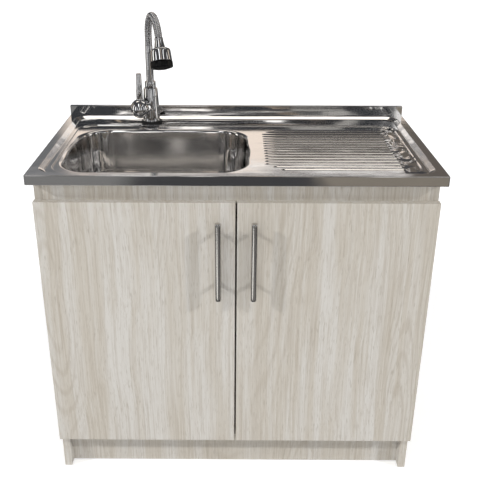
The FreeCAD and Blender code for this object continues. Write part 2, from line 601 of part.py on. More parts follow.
# ---------------------------------------------------------------- doors, hinges and handles
arms = []
plates = []
for side_name, side in SIDES:
    title = side_name.title()
    # The door's own origin is its lower left corner, on its back face.
    door = doc.addObject("PartDesign::Body", "Door" + title)
    slab = sketch_on(door, "Slab" + title, "XZ_Plane")
    outline(slab, [("0", "0"), ("door_width", "0"), ("door_width", "door_height"), ("0", "door_height")])
    pad(door, "Board" + title, slab, "door_thickness")
    dress(door, "Arris" + title, "Fillet", "arris", lambda edge: edge.Length > value("door_thickness") + 1)
    cup_x = "cup_inset" if side == LEFT else "door_width - cup_inset"
    bores = sketch_on(door, "CupBores" + title, "XZ_Plane")
    circle(bores, cup_x, "cup_height", "cup_radius + fit_play")
    circle(bores, cup_x, "door_height - cup_height", "cup_radius + fit_play")
    pocket(door, "Cups" + title, bores, "cup_depth + cup_floor_play", down=False)
    handle_x = "door_width - handle_inset" if side == LEFT else "handle_inset"
    bolt_holes = sketch_on(door, "BoltHoles" + title, "XZ_Plane")
    high_bolt = "door_height - handle_drop - (handle_length - handle_centres) / 2"
    for z in (high_bolt, high_bolt + " - handle_centres"):
        circle(bolt_holes, handle_x, z, "bolt_radius + fit_play")
    pocket(door, "Bolts" + title, bolt_holes, "door_thickness + 1", down=False)
    door_x = "-carcass_width / 2 - door_over" if side == LEFT else "door_split / 2"
    place(door, door_x, "door_back_y", "base_z")
    node(door, "door_" + side_name)

    pin_x = inner_x(side, "pin_inset - board - door_over")
    middle_x = inner_x(side, "cup_inset - board - door_over")
    pin_length = "2 * sqrt((cup_radius - cup_wall / 4)^2 - (cup_inset - pin_inset + pin_radius)^2)"
    cups = []
    pins = []
    for level, z in hinge_levels:
        tag = title + level
        shell = cylinder("CupShell" + tag, "cup_radius", "cup_depth", middle_x, "door_back_y", z,
                         ALONG_MINUS_Y)
        flange = centred_box("CupFlange" + tag, "cup_flange_width", "cup_flange", "cup_flange_height",
                             middle_x, "door_back_y + cup_flange / 2", z)
        well = cylinder("CupWell" + tag, "cup_radius - cup_wall", "cup_depth - cup_wall + cup_flange",
                        middle_x, "door_back_y + cup_flange", z, ALONG_MINUS_Y)
        seat = cylinder("PinSeat" + tag, "pin_radius + seat_play", pin_length, pin_x, "pin_y",
                        f"{z} - ({pin_length}) / 2")
        cups.append(cut("HingeCup" + tag, fuse("CupBlank" + tag, shell, flange), well, seat))
        pins.append(cylinder("HingePin" + tag, "pin_radius", pin_length, pin_x, "pin_y",
                             f"{z} - ({pin_length}) / 2"))
        # The arm hooks round the pin inside the cup, comes out beside it and runs back along the plate.
        arm_z = f"{z} - arm_width / 2"
        arm_x = f"plate_metal + arm_metal / 2"
        hub = cylinder("ArmHub" + tag, "hub_radius", "arm_width", pin_x, "pin_y", arm_z)
        leg_span = f"{arm_x} + arm_metal / 2 - (pin_inset - board - door_over)"
        leg_middle = f"({arm_x} + arm_metal / 2 + pin_inset - board - door_over) / 2"
        leg = centred_box("ArmLeg" + tag, leg_span, "arm_metal", "arm_width",
                          inner_x(side, leg_middle), "pin_y", z)
        run = "panel_y + arm_reach - pin_y + arm_metal / 2"
        beam = centred_box("ArmBeam" + tag, "arm_metal", run, "arm_width",
                           inner_x(side, arm_x), f"pin_y - arm_metal / 2 + ({run}) / 2", z)
        foot = centred_box("ArmFoot" + tag, "arm_metal", "plate_length", "arm_foot_width",
                           inner_x(side, arm_x), plate_y, z)
        eye = cylinder("ArmEye" + tag, "pin_radius + pin_play", "arm_width", pin_x, "pin_y", arm_z)
        arms.append(cut("HingeArm" + tag, fuse("ArmBlank" + tag, hub, leg, beam, foot), eye))
        plate = centred_box("PlateBlank" + tag, "plate_metal", "plate_length", "plate_height",
                            inner_x(side, "plate_metal / 2"), plate_y, z)
        plates.append(cut("HingePlate" + tag, plate, all_wood_holes))
    node(group("HingeCups" + title, *cups), "hinge_cups_" + side_name)
    node(group("HingePins" + title, *pins), "hinge_pins_" + side_name)

    bumpers = []
    outer_x = f"{side} * (carcass_width / 2 - bumper_inset)"
    free_x = f"{side} * (door_split / 2 + bumper_inset)"
    for end, x in (("Outer", outer_x), ("Free", free_x)):
        bumpers.append(cylinder("Bumper" + title + end, "bumper_radius", "door_gap - bumper_play", x,
                                "door_back_y", "base_z + board / 2", ALONG_Y))
    node(group("DoorBumpers" + title, *bumpers), "door_bumpers_" + side_name)

    bar_x = f"{side} * (door_split / 2 + handle_inset)"
    bar_z = "handle_top_z - handle_length"
    post_levels = (("High", "handle_top_z - (handle_length - handle_centres) / 2"),
                   ("Low", "handle_top_z - (handle_length + handle_centres) / 2"))
    rod = cylinder("BarRod" + title, "handle_radius", "handle_length - 2 * handle_cap",
                   bar_x, "handle_y", bar_z + " + handle_cap")
    posts = []
    sockets = []
    bolts = []
    for level, z in post_levels:
        tag = title + level
        post = cylinder("PostBlank" + tag, "post_radius", "handle_reach - handle_radius",
                        bar_x, "door_y", z, ALONG_MINUS_Y)
        thread = cylinder("PostThread" + tag, "bolt_radius", "post_thread_depth",
                          bar_x, "door_y", z, ALONG_MINUS_Y)
        posts.append(cut("Post" + tag, post, thread))
        sockets.append(cylinder("PostSocket" + tag, "post_radius + fit_play", "handle_reach - handle_radius",
                                bar_x, "door_y", z, ALONG_MINUS_Y))
        shank = cylinder("BoltShank" + tag, "bolt_radius - fit_play / 2", "door_thickness + bolt_bite",
                         bar_x, "door_back_y", z, ALONG_MINUS_Y)
        head = cylinder("BoltHead" + tag, "bolt_head", "bolt_head_height",
                        bar_x, "door_back_y", z, ALONG_Y)
        bolts.append(fuse("Bolt" + tag, shank, head))
    node(cut("HandleBar" + title, rod, *sockets), "handle_bar_" + side_name)
    caps = [cylinder("BarCapLow" + title, "handle_radius", "handle_cap", bar_x, "handle_y", bar_z),
            cylinder("BarCapHigh" + title, "handle_radius", "handle_cap", bar_x, "handle_y",
                     "handle_top_z - handle_cap")]
    node(group("HandleCaps" + title, *caps), "handle_caps_" + side_name)
    node(group("HandlePosts" + title, *posts), "handle_posts_" + side_name)
    node(group("HandleScrews" + title, *bolts), "handle_screws_" + side_name)
node(group("HingeArms", *arms), "hinge_arms")
node(group("HingePlates", *plates), "hinge_plates")

# ---------------------------------------------------------------- drain
# The strainer body's own origin is on its axis, at the lower end of its outlet.
cup_inner = "drain_cup_radius - drain_wall"
outlet_inner = "outlet_radius - drain_wall"
drain_top = "drain_drop + sheet + drain_flange"
drain = turned("DrainBody", [
    (outlet_inner, "0"), ("outlet_radius", "0"), ("outlet_radius", "outlet_length"),
    ("drain_cup_radius", "outlet_length"), ("drain_cup_radius", "drain_drop + sheet"),
    ("drain_flange_radius", "drain_drop + sheet"), ("drain_flange_radius", drain_top),
    (cup_inner, drain_top), (cup_inner, "outlet_length + drain_wall"),
    (outlet_inner, "outlet_length + drain_wall")])
node(place(drain, "bowl_x", "bowl_y", "cup_under_z - drain_drop"), "drain_body")

gasket_outer = "drain_flange_radius - gasket_margin"
gasket = cut("DrainGasket", cylinder("GasketDisc", gasket_outer, "gasket_metal"),
             cylinder("GasketHole", "drain_cup_radius + drain_hole_play", "gasket_metal"))
node(place(gasket, "bowl_x", "bowl_y", "cup_under_z - gasket_metal"), "drain_gasket")

notches = []
for name, turn in (("A", "0"), ("B", "90"), ("C", "180"), ("D", "270")):
    notch = bind(doc.addObject("Part::Box", "Notch" + name), Length="drain_notch", Width="drain_notch",
                 Height="drain_nut_height")
    reach = f"(drain_nut_radius - drain_notch / 4)"
    place(notch, f"{reach} * cos({turn}) + drain_notch / 2 * sin({turn})",
          f"{reach} * sin({turn}) - drain_notch / 2 * cos({turn})", "0", (turn, "0", "0"))
    notches.append(notch)
drain_nut = cut("DrainNut", cylinder("NutRing", "drain_nut_radius", "drain_nut_height"),
                cylinder("NutBore", "drain_cup_radius + fit_play", "drain_nut_height"), *notches)
node(place(drain_nut, "bowl_x", "bowl_y", "cup_under_z - gasket_metal - drain_nut_height"), "drain_nut")

basket_rim = "drain_cup_radius - drain_wall - basket_play"
basket_z = "plug_height + basket_lift"
basket_top = "plug_height + basket_lift + basket_height"
basket = turned("StrainerBasket", [
    ("0", "0"), ("plug_radius", "0"), ("plug_radius", "plug_height"), ("stem_radius", "plug_height"),
    ("stem_radius", basket_z), (basket_rim, basket_z), (basket_rim, basket_top),
    ("drain_cup_radius - drain_wall - basket_play - basket_wall", basket_top),
    ("drain_cup_radius - drain_wall - basket_play - basket_wall", basket_z + " + basket_wall"),
    ("stem_radius", basket_z + " + basket_wall"), ("stem_radius", basket_top),
    ("knob_radius", basket_top), ("knob_radius", basket_top + " + knob_height"),
    ("0", basket_top + " + knob_height")])
for ring, share in (("Inner", "0.45"), ("Outer", "0.8")):
    holes = sketch_on(basket, "BasketHole" + ring, "XY_Plane", basket_z)
    circle(holes, f"({basket_rim}) * {share}", "0", "basket_hole_radius")
    drilled = pocket(basket, "BasketDrill" + ring, holes, "basket_wall", down=False)
    ring_of(basket, "BasketHoles" + ring, drilled, "basket_hole_count")
node(place(basket, "bowl_x", "bowl_y", "cup_under_z - drain_cup_height + drain_wall"), "strainer_basket")

tail_bore = "tail_radius - drain_wall"
tail = turned("Tailpiece", [
    (tail_bore, "0"), ("tail_radius", "0"), ("tail_radius", "tail_length - tail_collar"),
    ("outlet_radius", "tail_length - tail_collar"), ("outlet_radius", "tail_length"),
    (tail_bore, "tail_length")])
tail_z = "cup_under_z - drain_drop - tail_length"
node(place(tail, "bowl_x", "bowl_y", tail_z), "tailpiece")
tail_nut_height = "tail_collar + tail_nut_grip"
tail_nut = cut("TailpieceNut", cylinder("TailNutRing", "outlet_radius + tail_nut_wall", tail_nut_height),
               cylinder("TailNutBore", "outlet_radius + fit_play", tail_nut_height))
node(place(tail_nut, "bowl_x", "bowl_y", "cup_under_z - drain_drop - tail_collar"), "tailpiece_nut")

# ---------------------------------------------------------------- tap, about its own vertical axis on the ledge


def on_ledge(obj, lift="0", turn=UPRIGHT):
    return place(obj, "tap_x", "tap_y", f"field_z + {lift}", turn)


BRANCH = ("lever_azimuth", "90", "0")
gasket_ring = cut("TapGasket", cylinder("TapGasketDisc", "tap_gasket_radius", "tap_gasket_height"),
                  cylinder("TapGasketHole", "shank_radius + fit_play", "tap_gasket_height"))
node(on_ledge(gasket_ring), "tap_gasket")

body_height = "tap_height - tap_gasket_height"
column = cone("TapColumn", "tap_foot_radius", "tap_top_radius", body_height, z="tap_gasket_height")
branch = cylinder("TapBranch", "branch_radius", "branch_length", z="branch_height", turn=BRANCH)
branch_bore = cylinder("BranchBore", "branch_bore", "branch_length", z="branch_height",
                       x="branch_bore_start * cos(lever_azimuth)",
                       y="branch_bore_start * sin(lever_azimuth)", turn=BRANCH)
neck_bore = cylinder("NeckBore", "neck_radius + neck_play", "tap_bore_depth",
                     z="tap_height - tap_bore_depth")
tap_body = cut("TapBody", fuse("TapCasting", column, branch), branch_bore, neck_bore)
node(on_ledge(tap_body), "tap_body")

tail_x = "inlet_spread / 2"
shank_tube = cylinder("ShankTube", "shank_radius", "shank_length + tap_gasket_height", z="-shank_length")
inlet_root = "inlet_radius + inlet_root"
inlet_holes = [cylinder("InletHole" + name, inlet_root + " + fit_play", "inlet_bite",
                        f"{sign} * {tail_x}", z="-shank_length") for name, sign in (("Hot", -1), ("Cold", 1))]
node(on_ledge(cut("TapShank", shank_tube, *inlet_holes)), "tap_shank")
inlets = []
for name, sign in (("Hot", -1), ("Cold", 1)):
    inlet = turned("Inlet" + name, [
        ("inlet_bore", "0"), ("inlet_radius", "0"), ("inlet_radius", "inlet_length"),
        (inlet_root, "inlet_length"), (inlet_root, "inlet_length + inlet_bite"),
        ("inlet_bore", "inlet_length + inlet_bite")])
    inlets.append(place(inlet, f"{sign} * {tail_x}", z="-shank_length - inlet_length"))
node(on_ledge(group("InletTails", *inlets)), "inlet_tails")
washer = cut("TapWasher", cylinder("WasherDisc", "washer_radius", "washer_height"),
             cylinder("WasherHole", "shank_radius + fit_play", "washer_height"))
node(on_ledge(washer, "-sheet - washer_height"), "tap_washer")
hexagon = bind(doc.addObject("Part::Prism", "TapNutHexagon"), Circumradius="tap_nut_radius",
               Height="tap_nut_height")
hexagon.Polygon = 6
tap_nut = cut("TapNut", hexagon, cylinder("TapNutBore", "shank_radius + fit_play", "tap_nut_height"))
node(on_ledge(tap_nut, "-sheet - washer_height - tap_nut_height"), "tap_nut")

# Cartridge, collar, carrier and lever are turned about the branch's axis, measured from the tap's axis.
cartridge_end = "branch_bore_start + cartridge_length"
cartridge = cylinder("CartridgeBlank", "branch_bore - fit_play", "cartridge_length",
                     z="branch_bore_start")
node(on_ledge(group("Cartridge", cartridge), "branch_height", BRANCH), "cartridge")

carrier_bore = "carrier_radius + carrier_play"
ball = bind(doc.addObject("Part::Sphere", "CollarBall"), Radius="ball_radius")
place(ball, z="pivot_reach")
keep = cylinder("CollarKeep", "ball_radius + 1", "ball_end - ball_start", z="ball_start")
ball_part = doc.addObject("Part::Common", "CollarBallPart")
ball_part.Base = ball
ball_part.Tool = keep
tenon = cylinder("CollarTenon", "branch_bore - fit_play", f"ball_start - ({cartridge_end})",
                 z=cartridge_end)
flange = cylinder("CollarFlange", "branch_radius", "ball_start - branch_length", z="branch_length")
collar = cut("CartridgeCollar", fuse("CollarBlank", ball_part, tenon, flange),
             cylinder("CollarBore", carrier_bore, f"ball_end - ({cartridge_end})", z=cartridge_end))
node(on_ledge(collar, "branch_height", BRANCH), "cartridge_collar")

carrier_blank = cylinder("CarrierBlank", "carrier_radius", f"carrier_end - ({cartridge_end})",
                         z=cartridge_end)
slot = box("CarrierSlot", "2 * carrier_radius", "carrier_slot", "carrier_end - carrier_slot_start",
           "-carrier_radius", "-carrier_slot / 2", "carrier_slot_start")
pin_hole = cylinder("CarrierPinHole", "lever_pin_radius + fit_play", "2 * carrier_radius",
                    y="-carrier_radius", z="pivot_reach", turn=ALONG_Y)
node(on_ledge(cut("CartridgeCarrier", carrier_blank, slot, pin_hole), "branch_height", BRANCH),
     "cartridge_carrier")
pin_span = "2 * carrier_radius - 1"
lever_pin = cylinder("LeverPinRod", "lever_pin_radius", pin_span, y=f"-({pin_span}) / 2",
                     z="pivot_reach", turn=ALONG_Y)
node(on_ledge(group("LeverPin", lever_pin), "branch_height", BRANCH), "lever_pin")

spindle_blank = box("SpindleBlank", "spindle_height", "spindle_width",
                    "cap_socket_floor - spindle_start", "-spindle_height / 2", "-spindle_width / 2",
                    "spindle_start")
spindle_eye = cylinder("SpindleEye", "lever_pin_radius + fit_play", "spindle_width",
                       y="-spindle_width / 2", z="pivot_reach", turn=ALONG_Y)
node(on_ledge(cut("LeverSpindle", spindle_blank, spindle_eye), "branch_height", BRANCH), "lever_spindle")

cap_ball = bind(doc.addObject("Part::Sphere", "CapBall"), Radius="cap_radius")
place(cap_ball, z="pivot_reach")
cap_boss = cylinder("CapBoss", "boss_radius", "boss_top", z="pivot_reach", turn=ALONG_MINUS_X)
cap_trim = cylinder("CapTrim", "2 * cap_radius", "cap_radius", z="pivot_reach - cap_skirt - cap_radius")
cavity_ball = bind(doc.addObject("Part::Sphere", "CavityBall"), Radius="cap_cavity")
place(cavity_ball, z="pivot_reach")
cavity_skirt = cylinder("CavitySkirt", "cap_cavity", "cap_skirt", z="pivot_reach - cap_skirt")
socket = box("SpindleSocket", "spindle_height + 2 * spindle_play", "spindle_width + 2 * spindle_play",
             "cap_socket_floor - pivot_reach", "-spindle_height / 2 - spindle_play",
             "-spindle_width / 2 - spindle_play", "pivot_reach")
cap_keep = cylinder("CapSocketPost", "boss_radius", "pivot_reach + cap_cavity - ball_end - 2 * spindle_play",
                    z="ball_end + 2 * spindle_play")
hollow_cap = cut("HollowCap", fuse("CapBlank", cap_ball, cap_boss), cap_trim, cavity_ball, cavity_skirt)
lever_cap = cut("LeverCap", hollow_cap, socket)
node(on_ledge(lever_cap, "branch_height", BRANCH), "lever_cap")

# The sleeve and the rod stand on the cap's boss and point up.
lever_x = "pivot_reach * cos(lever_azimuth)"
lever_y = "pivot_reach * sin(lever_azimuth)"
spigot_hole = cylinder("SpigotHole", "rod_spigot_radius + fit_play", "rod_spigot_length",
                       z="sleeve_top - rod_spigot_length")
sleeve = cut("LeverSleeve", cylinder("SleeveTube", "sleeve_radius", "sleeve_top - boss_top", z="boss_top"),
             spigot_hole)
place(sleeve, f"tap_x + {lever_x}", f"tap_y + {lever_y}", "field_z + branch_height")
node(sleeve, "lever_sleeve")
rod = turned("LeverRod", [
    ("0", "0"), ("rod_spigot_radius", "0"), ("rod_spigot_radius", "rod_spigot_length"),
    ("rod_base_radius", "rod_spigot_length"),
    ("rod_tip_radius", "rod_spigot_length + rod_top - sleeve_top"),
    ("0", "rod_spigot_length + rod_top - sleeve_top")])
dress(rod, "RodTip", "Fillet", "rod_round",
      lambda edge: round_edge(edge, value("rod_tip_radius"), value("rod_spigot_length + rod_top - sleeve_top")))
place(rod, f"tap_x + {lever_x}", f"tap_y + {lever_y}",
      "field_z + branch_height + sleeve_top - rod_spigot_length")
node(rod, "lever_rod")

# ---------------------------------------------------------------- spout: it swivels about the tap's axis
neck_collar = cut("NeckCollar", cylinder("CollarRing", "collar_radius", "collar_height"),
                  cylinder("CollarHole", "neck_radius + neck_play", "collar_height"))
node(on_ledge(neck_collar, "tap_height"), "neck_collar")

SPOUT = ("spout_azimuth", "0", "0")
neck_start = "tap_height - spigot_depth"
neck_span = f"neck_top - ({neck_start})"
neck = cut("NeckTube", cylinder("NeckOuter", "neck_radius", neck_span),
           cylinder("NeckInner", "neck_radius - neck_wall", neck_span))
node(on_ledge(neck, neck_start, SPOUT), "neck_tube")
ferrule = cut("HoseFerrule", cylinder("FerruleOuter", "neck_radius", "hose_lead"),
              cylinder("FerruleInner", "hose_valley_radius + ferrule_play", "hose_lead"))
node(on_ledge(ferrule, "neck_top", SPOUT), "hose_ferrule")


def hose_frame(run):
    """The hose's centre line: straight rise, crest, longer fall, straight end; place and lean."""
    rise = value("hose_lead + hose_rise")
    forward, height, lean = 0.0, min(run, rise), 0.0
    left = run - rise
    for radius, sweep in ((value("crest_radius"), 90), (value("fall_radius"), 90 - value("head_tilt"))):
        if left <= 0:
            break
        turn = min(left / radius, math.radians(sweep))
        forward += radius * (math.cos(lean) - math.cos(lean + turn))
        height += radius * (math.sin(lean + turn) - math.sin(lean))
        lean += turn
        left -= radius * math.radians(sweep)
    rest = max(left, 0)
    return FreeCAD.Vector(0, -forward - rest * math.sin(lean), height + rest * math.cos(lean)), lean


def hose_circle(run, radius):
    ring = Part.Wire(Part.Circle(FreeCAD.Vector(0, 0, 0), FreeCAD.Vector(0, 0, 1), radius).toShape())
    spot, lean = hose_frame(run)
    ring.Placement = FreeCAD.Placement(spot, FreeCAD.Rotation(FreeCAD.Vector(1, 0, 0), math.degrees(lean)))
    return ring


# Each rib has four circles: foot, two on the crest, foot.
RIB_STEPS = ((0.0, "valley"), (0.3, "crest"), (0.62, "crest"), (0.92, "valley"))
hose_sizes = {"valley": value("hose_valley_radius"), "crest": value("hose_crest_radius")}
crest_start = value("hose_lead + hose_rise")
crest_top = crest_start + value("crest_radius") * math.pi / 2
fall_end = crest_top + value("fall_radius") * math.radians(90 - value("head_tilt"))
ribs_start = value("hose_lead")
rib_pitch = (fall_end - ribs_start) / value("rib_count")
hose_end = fall_end + value("hose_lead")
rings = [hose_circle(0, hose_sizes["valley"])]
for rib in range(int(value("rib_count"))):
    for share, place_on_rib in RIB_STEPS:
        rings.append(hose_circle(ribs_start + (rib + share) * rib_pitch, hose_sizes[place_on_rib]))
rings.append(hose_circle(fall_end, hose_sizes["valley"]))
rings.append(hose_circle(hose_end, hose_sizes["valley"]))
ribbed = Part.makeLoft(rings, True, True)
turning = [hose_frame(run)[0] for run in (
    0, crest_start, (crest_start + crest_top) / 2, crest_top, (crest_top + fall_end) / 2, fall_end, hose_end)]
path = Part.Wire([Part.LineSegment(turning[0], turning[1]).toShape(),
                  Part.Arc(turning[1], turning[2], turning[3]).toShape(),
                  Part.Arc(turning[3], turning[4], turning[5]).toShape(),
                  Part.LineSegment(turning[5], turning[6]).toShape()])
bore_ring = hose_circle(0, value("hose_bore_radius"))
bore = path.makePipeShell([bore_ring], True, True)
hose = doc.addObject("Part::Feature", "NeckHose")
hose.Shape = ribbed.cut(bore)
on_ledge(hose, "neck_top", SPOUT)
node(hose, "neck_hose")
print("hose bore", round(bore.Volume), "of", round(math.pi * value("hose_bore_radius")**2 * hose_end))
print("hose rib gap", round(rib_pitch * (1 - RIB_STEPS[2][0] + RIB_STEPS[1][0]), 2))

# ---------------------------------------------------------------- spray head, along its own leaning axis
# The head's own origin is the middle of its outlet face; its Z axis points back up to the hose.


def on_head(obj, lift="0"):
    run = f"head_run - ({lift}) * sin(head_tilt)"
    x = f"tap_x + ({run}) * sin(spout_azimuth)"
    y = f"tap_y - ({run}) * cos(spout_azimuth)"
    return place(obj, x, y, f"field_z + head_z + ({lift}) * cos(head_tilt)",
                 ("spout_azimuth", "0", "-head_tilt"))


bell_span = "head_length - rim_height"
socket_radius = "hose_valley_radius + ferrule_play"
shoulder_z = bell_span + " - head_neck_height - shoulder_drop"
bell = turned("SprayBell", [
    (socket_radius, bell_span), (socket_radius, bell_span + " - hose_lead"),
    ("hose_bore_radius", bell_span + " - hose_lead"), ("hose_bore_radius", "bell_wall"),
    ("rim_inner_radius - rim_play", "bell_wall"), ("rim_inner_radius - rim_play", "0"),
    ("bell_radius", "0"), ("shoulder_radius", shoulder_z),
    ("head_neck_radius", bell_span + " - head_neck_height"), ("head_mouth_radius", bell_span)])
dress(bell, "BellShoulder", "Fillet", "shoulder_round",
      lambda edge: round_edge(edge, value("shoulder_radius"), value(shoulder_z)))
node(on_head(bell, "rim_height"), "spray_bell")

rim = turned("SprayRim", [
    ("rim_inner_radius", "0"), ("rim_radius", "0"), ("rim_radius", "rim_height - rim_play"),
    ("rim_inner_radius", "rim_height - rim_play")])
flute = sketch_on(rim, "FluteOutline", "XY_Plane")
circle(flute, "rim_radius + rim_flute_radius - rim_flute_bite", "0", "rim_flute_radius")
fluting = pocket(rim, "Flute", flute, "rim_height", down=False)
ring_of(rim, "Flutes", fluting, "rim_lobes")
node(on_head(rim), "spray_rim")

face_top = "face_proud + face_height"
face = turned("SprayFace", [
    ("0", "0"), ("face_nose_radius", "0"), ("rim_inner_radius - face_play", "face_proud"),
    ("rim_inner_radius - face_play", face_top), ("0", face_top)])
jets = sketch_on(face, "JetOutline", "XY_Plane")
circle(jets, "jet_circle", "0", "jet_radius")
jet = pocket(face, "Jet", jets, face_top, down=False)
ring_of(face, "Jets", jet, "jet_count")
node(on_head(face, "-face_proud"), "spray_face")

# ---------------------------------------------------------------- check and write
doc.recompute()
for obj in doc.Objects:
    if "Invalid" in obj.State or "Error" in obj.State:
        raise RuntimeError(obj.Name + " failed: " + str(obj.State))
for obj in nodes:
    if obj.Shape.isNull() or not obj.Shape.isValid() or obj.Shape.Volume < TOLERANCE:
        raise RuntimeError(obj.Label + " has no sound solid")
os.makedirs("parts", exist_ok=True)
for obj in nodes:
    obj.Shape.exportStep(os.path.join("parts", obj.Label + ".step"))
print(len(nodes), "nodes written")
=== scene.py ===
import math

import bmesh
import bpy
from mathutils import Matrix, Vector


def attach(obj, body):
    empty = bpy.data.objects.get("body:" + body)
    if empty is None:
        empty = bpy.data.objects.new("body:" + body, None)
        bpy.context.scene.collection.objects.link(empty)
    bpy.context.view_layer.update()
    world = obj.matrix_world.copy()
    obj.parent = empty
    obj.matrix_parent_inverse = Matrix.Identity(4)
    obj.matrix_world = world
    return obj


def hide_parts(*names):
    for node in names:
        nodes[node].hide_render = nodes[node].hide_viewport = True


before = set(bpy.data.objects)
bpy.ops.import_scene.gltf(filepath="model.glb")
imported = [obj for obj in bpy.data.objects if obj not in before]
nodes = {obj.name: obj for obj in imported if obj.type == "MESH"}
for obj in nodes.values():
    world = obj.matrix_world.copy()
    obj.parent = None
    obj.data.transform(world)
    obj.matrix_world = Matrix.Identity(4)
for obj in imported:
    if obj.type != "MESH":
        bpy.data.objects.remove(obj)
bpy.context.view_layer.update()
mm = 0.001
flat = math.pi / 2
print("frame loaded:", len(nodes), "nodes")

# the middle of the unit's front edge at deck level; the sink is drawn from its front left corner
sinkSize = dict(width=900, depth=500, deck=807, front=-236.5, skirt=22, sheet=0.8)
sinkCorner = Vector((-sinkSize["width"] / 2, sinkSize["front"], sinkSize["deck"])) * mm
tapSpot = Vector((-224, 208.5, 800.8)) * mm
camera = dict(focalPixels=732.58, centre=(228.50, 237.42), frameSize=480, tilt=24.374, yaw=0.391,
              roll=-0.082, spot=(-6.76, -1456.78, 518.62))


def addCamera():
    data = bpy.data.cameras.new("photoCamera")
    data.sensor_width = 36
    data.lens = camera["focalPixels"] / camera["frameSize"] * data.sensor_width
    data.shift_x = (camera["frameSize"] / 2 - camera["centre"][0]) / camera["frameSize"]
    data.shift_y = (camera["centre"][1] - camera["frameSize"] / 2) / camera["frameSize"]
    data.clip_end = 50
    lens = bpy.data.objects.new("photoCamera", data)
    bpy.context.scene.collection.objects.link(lens)
    fromFront = Vector(camera["spot"]) * mm + Vector((0, sinkSize["front"], sinkSize["deck"])) * mm
    turn = Matrix.Rotation(math.radians(camera["yaw"]), 4, "Z")
    tip = Matrix.Rotation(math.radians(90 - camera["tilt"]), 4, "X")
    roll = Matrix.Rotation(math.radians(-camera["roll"]), 4, "Z")
    lens.matrix_world = Matrix.Translation(fromFront) @ turn @ tip @ roll
    bpy.context.scene.camera = lens


addCamera()


def newGroup(name, inputs, outputs):
    group = bpy.data.node_groups.new(name, "ShaderNodeTree")
    for label, kind, default in inputs:
        socket = group.interface.new_socket(name=label, in_out="INPUT", socket_type="NodeSocket" + kind)
        if default is not None:
            socket.default_value = default
    for label, kind in outputs:
        group.interface.new_socket(name=label, in_out="OUTPUT", socket_type="NodeSocket" + kind)
    return group, group.nodes.new("NodeGroupInput"), group.nodes.new("NodeGroupOutput")


def mathNode(tree, operation, first, second, third=None):
    made = tree.nodes.new("ShaderNodeMath")
    made.operation = operation
    for socket, feed in zip(made.inputs, (first, second, third)):
        if feed is None:
            continue
        if isinstance(feed, (int, float)):
            socket.default_value = feed
        else:
            tree.links.new(feed, socket)
    return made.outputs[0]


def mixColours(tree, share, first, second, blend="MIX"):
    made = tree.nodes.new("ShaderNodeMix")
    made.data_type = "RGBA"
    made.blend_type = blend
    for socket, feed in ((made.inputs[0], share), (made.inputs[6], first), (made.inputs[7], second)):
        if isinstance(feed, (int, float)):
            socket.default_value = feed
        elif isinstance(feed, (tuple, list)):
            socket.default_value = (*feed[:3], 1)
        else:
            tree.links.new(feed, socket)
    return made.outputs[2]


def noiseNode(tree, vector, scale, detail=2.0, roughness=0.5, distortion=0.0):
    made = tree.nodes.new("ShaderNodeTexNoise")
    tree.links.new(vector, made.inputs["Vector"])
    made.inputs["Scale"].default_value = scale
    made.inputs["Detail"].default_value = detail
    made.inputs["Roughness"].default_value = roughness
    made.inputs["Distortion"].default_value = distortion
    return made.outputs["Fac"]


def stretched(tree, vector, scale):
    made = tree.nodes.new("ShaderNodeMapping")
    tree.links.new(vector, made.inputs["Vector"])
    made.inputs["Scale"].default_value = scale
    return made.outputs["Vector"]


def spread(tree, feed, low, high, to=(0.0, 1.0), smooth=False):
    made = tree.nodes.new("ShaderNodeMapRange")
    made.interpolation_type = "SMOOTHSTEP" if smooth else "LINEAR"
    tree.links.new(feed, made.inputs["Value"])
    made.inputs["From Min"].default_value = low
    made.inputs["From Max"].default_value = high
    made.inputs["To Min"].default_value = to[0]
    made.inputs["To Max"].default_value = to[1]
    return made.outputs["Result"]


oak = dict(pale=(0.607, 0.585, 0.547), mid=(0.527, 0.487, 0.425), dark=(0.400, 0.350, 0.285),
           pore=(0.34, 0.295, 0.24), bandScale=26.0, fibreScale=360.0, poreScale=620.0, rings=26.0)


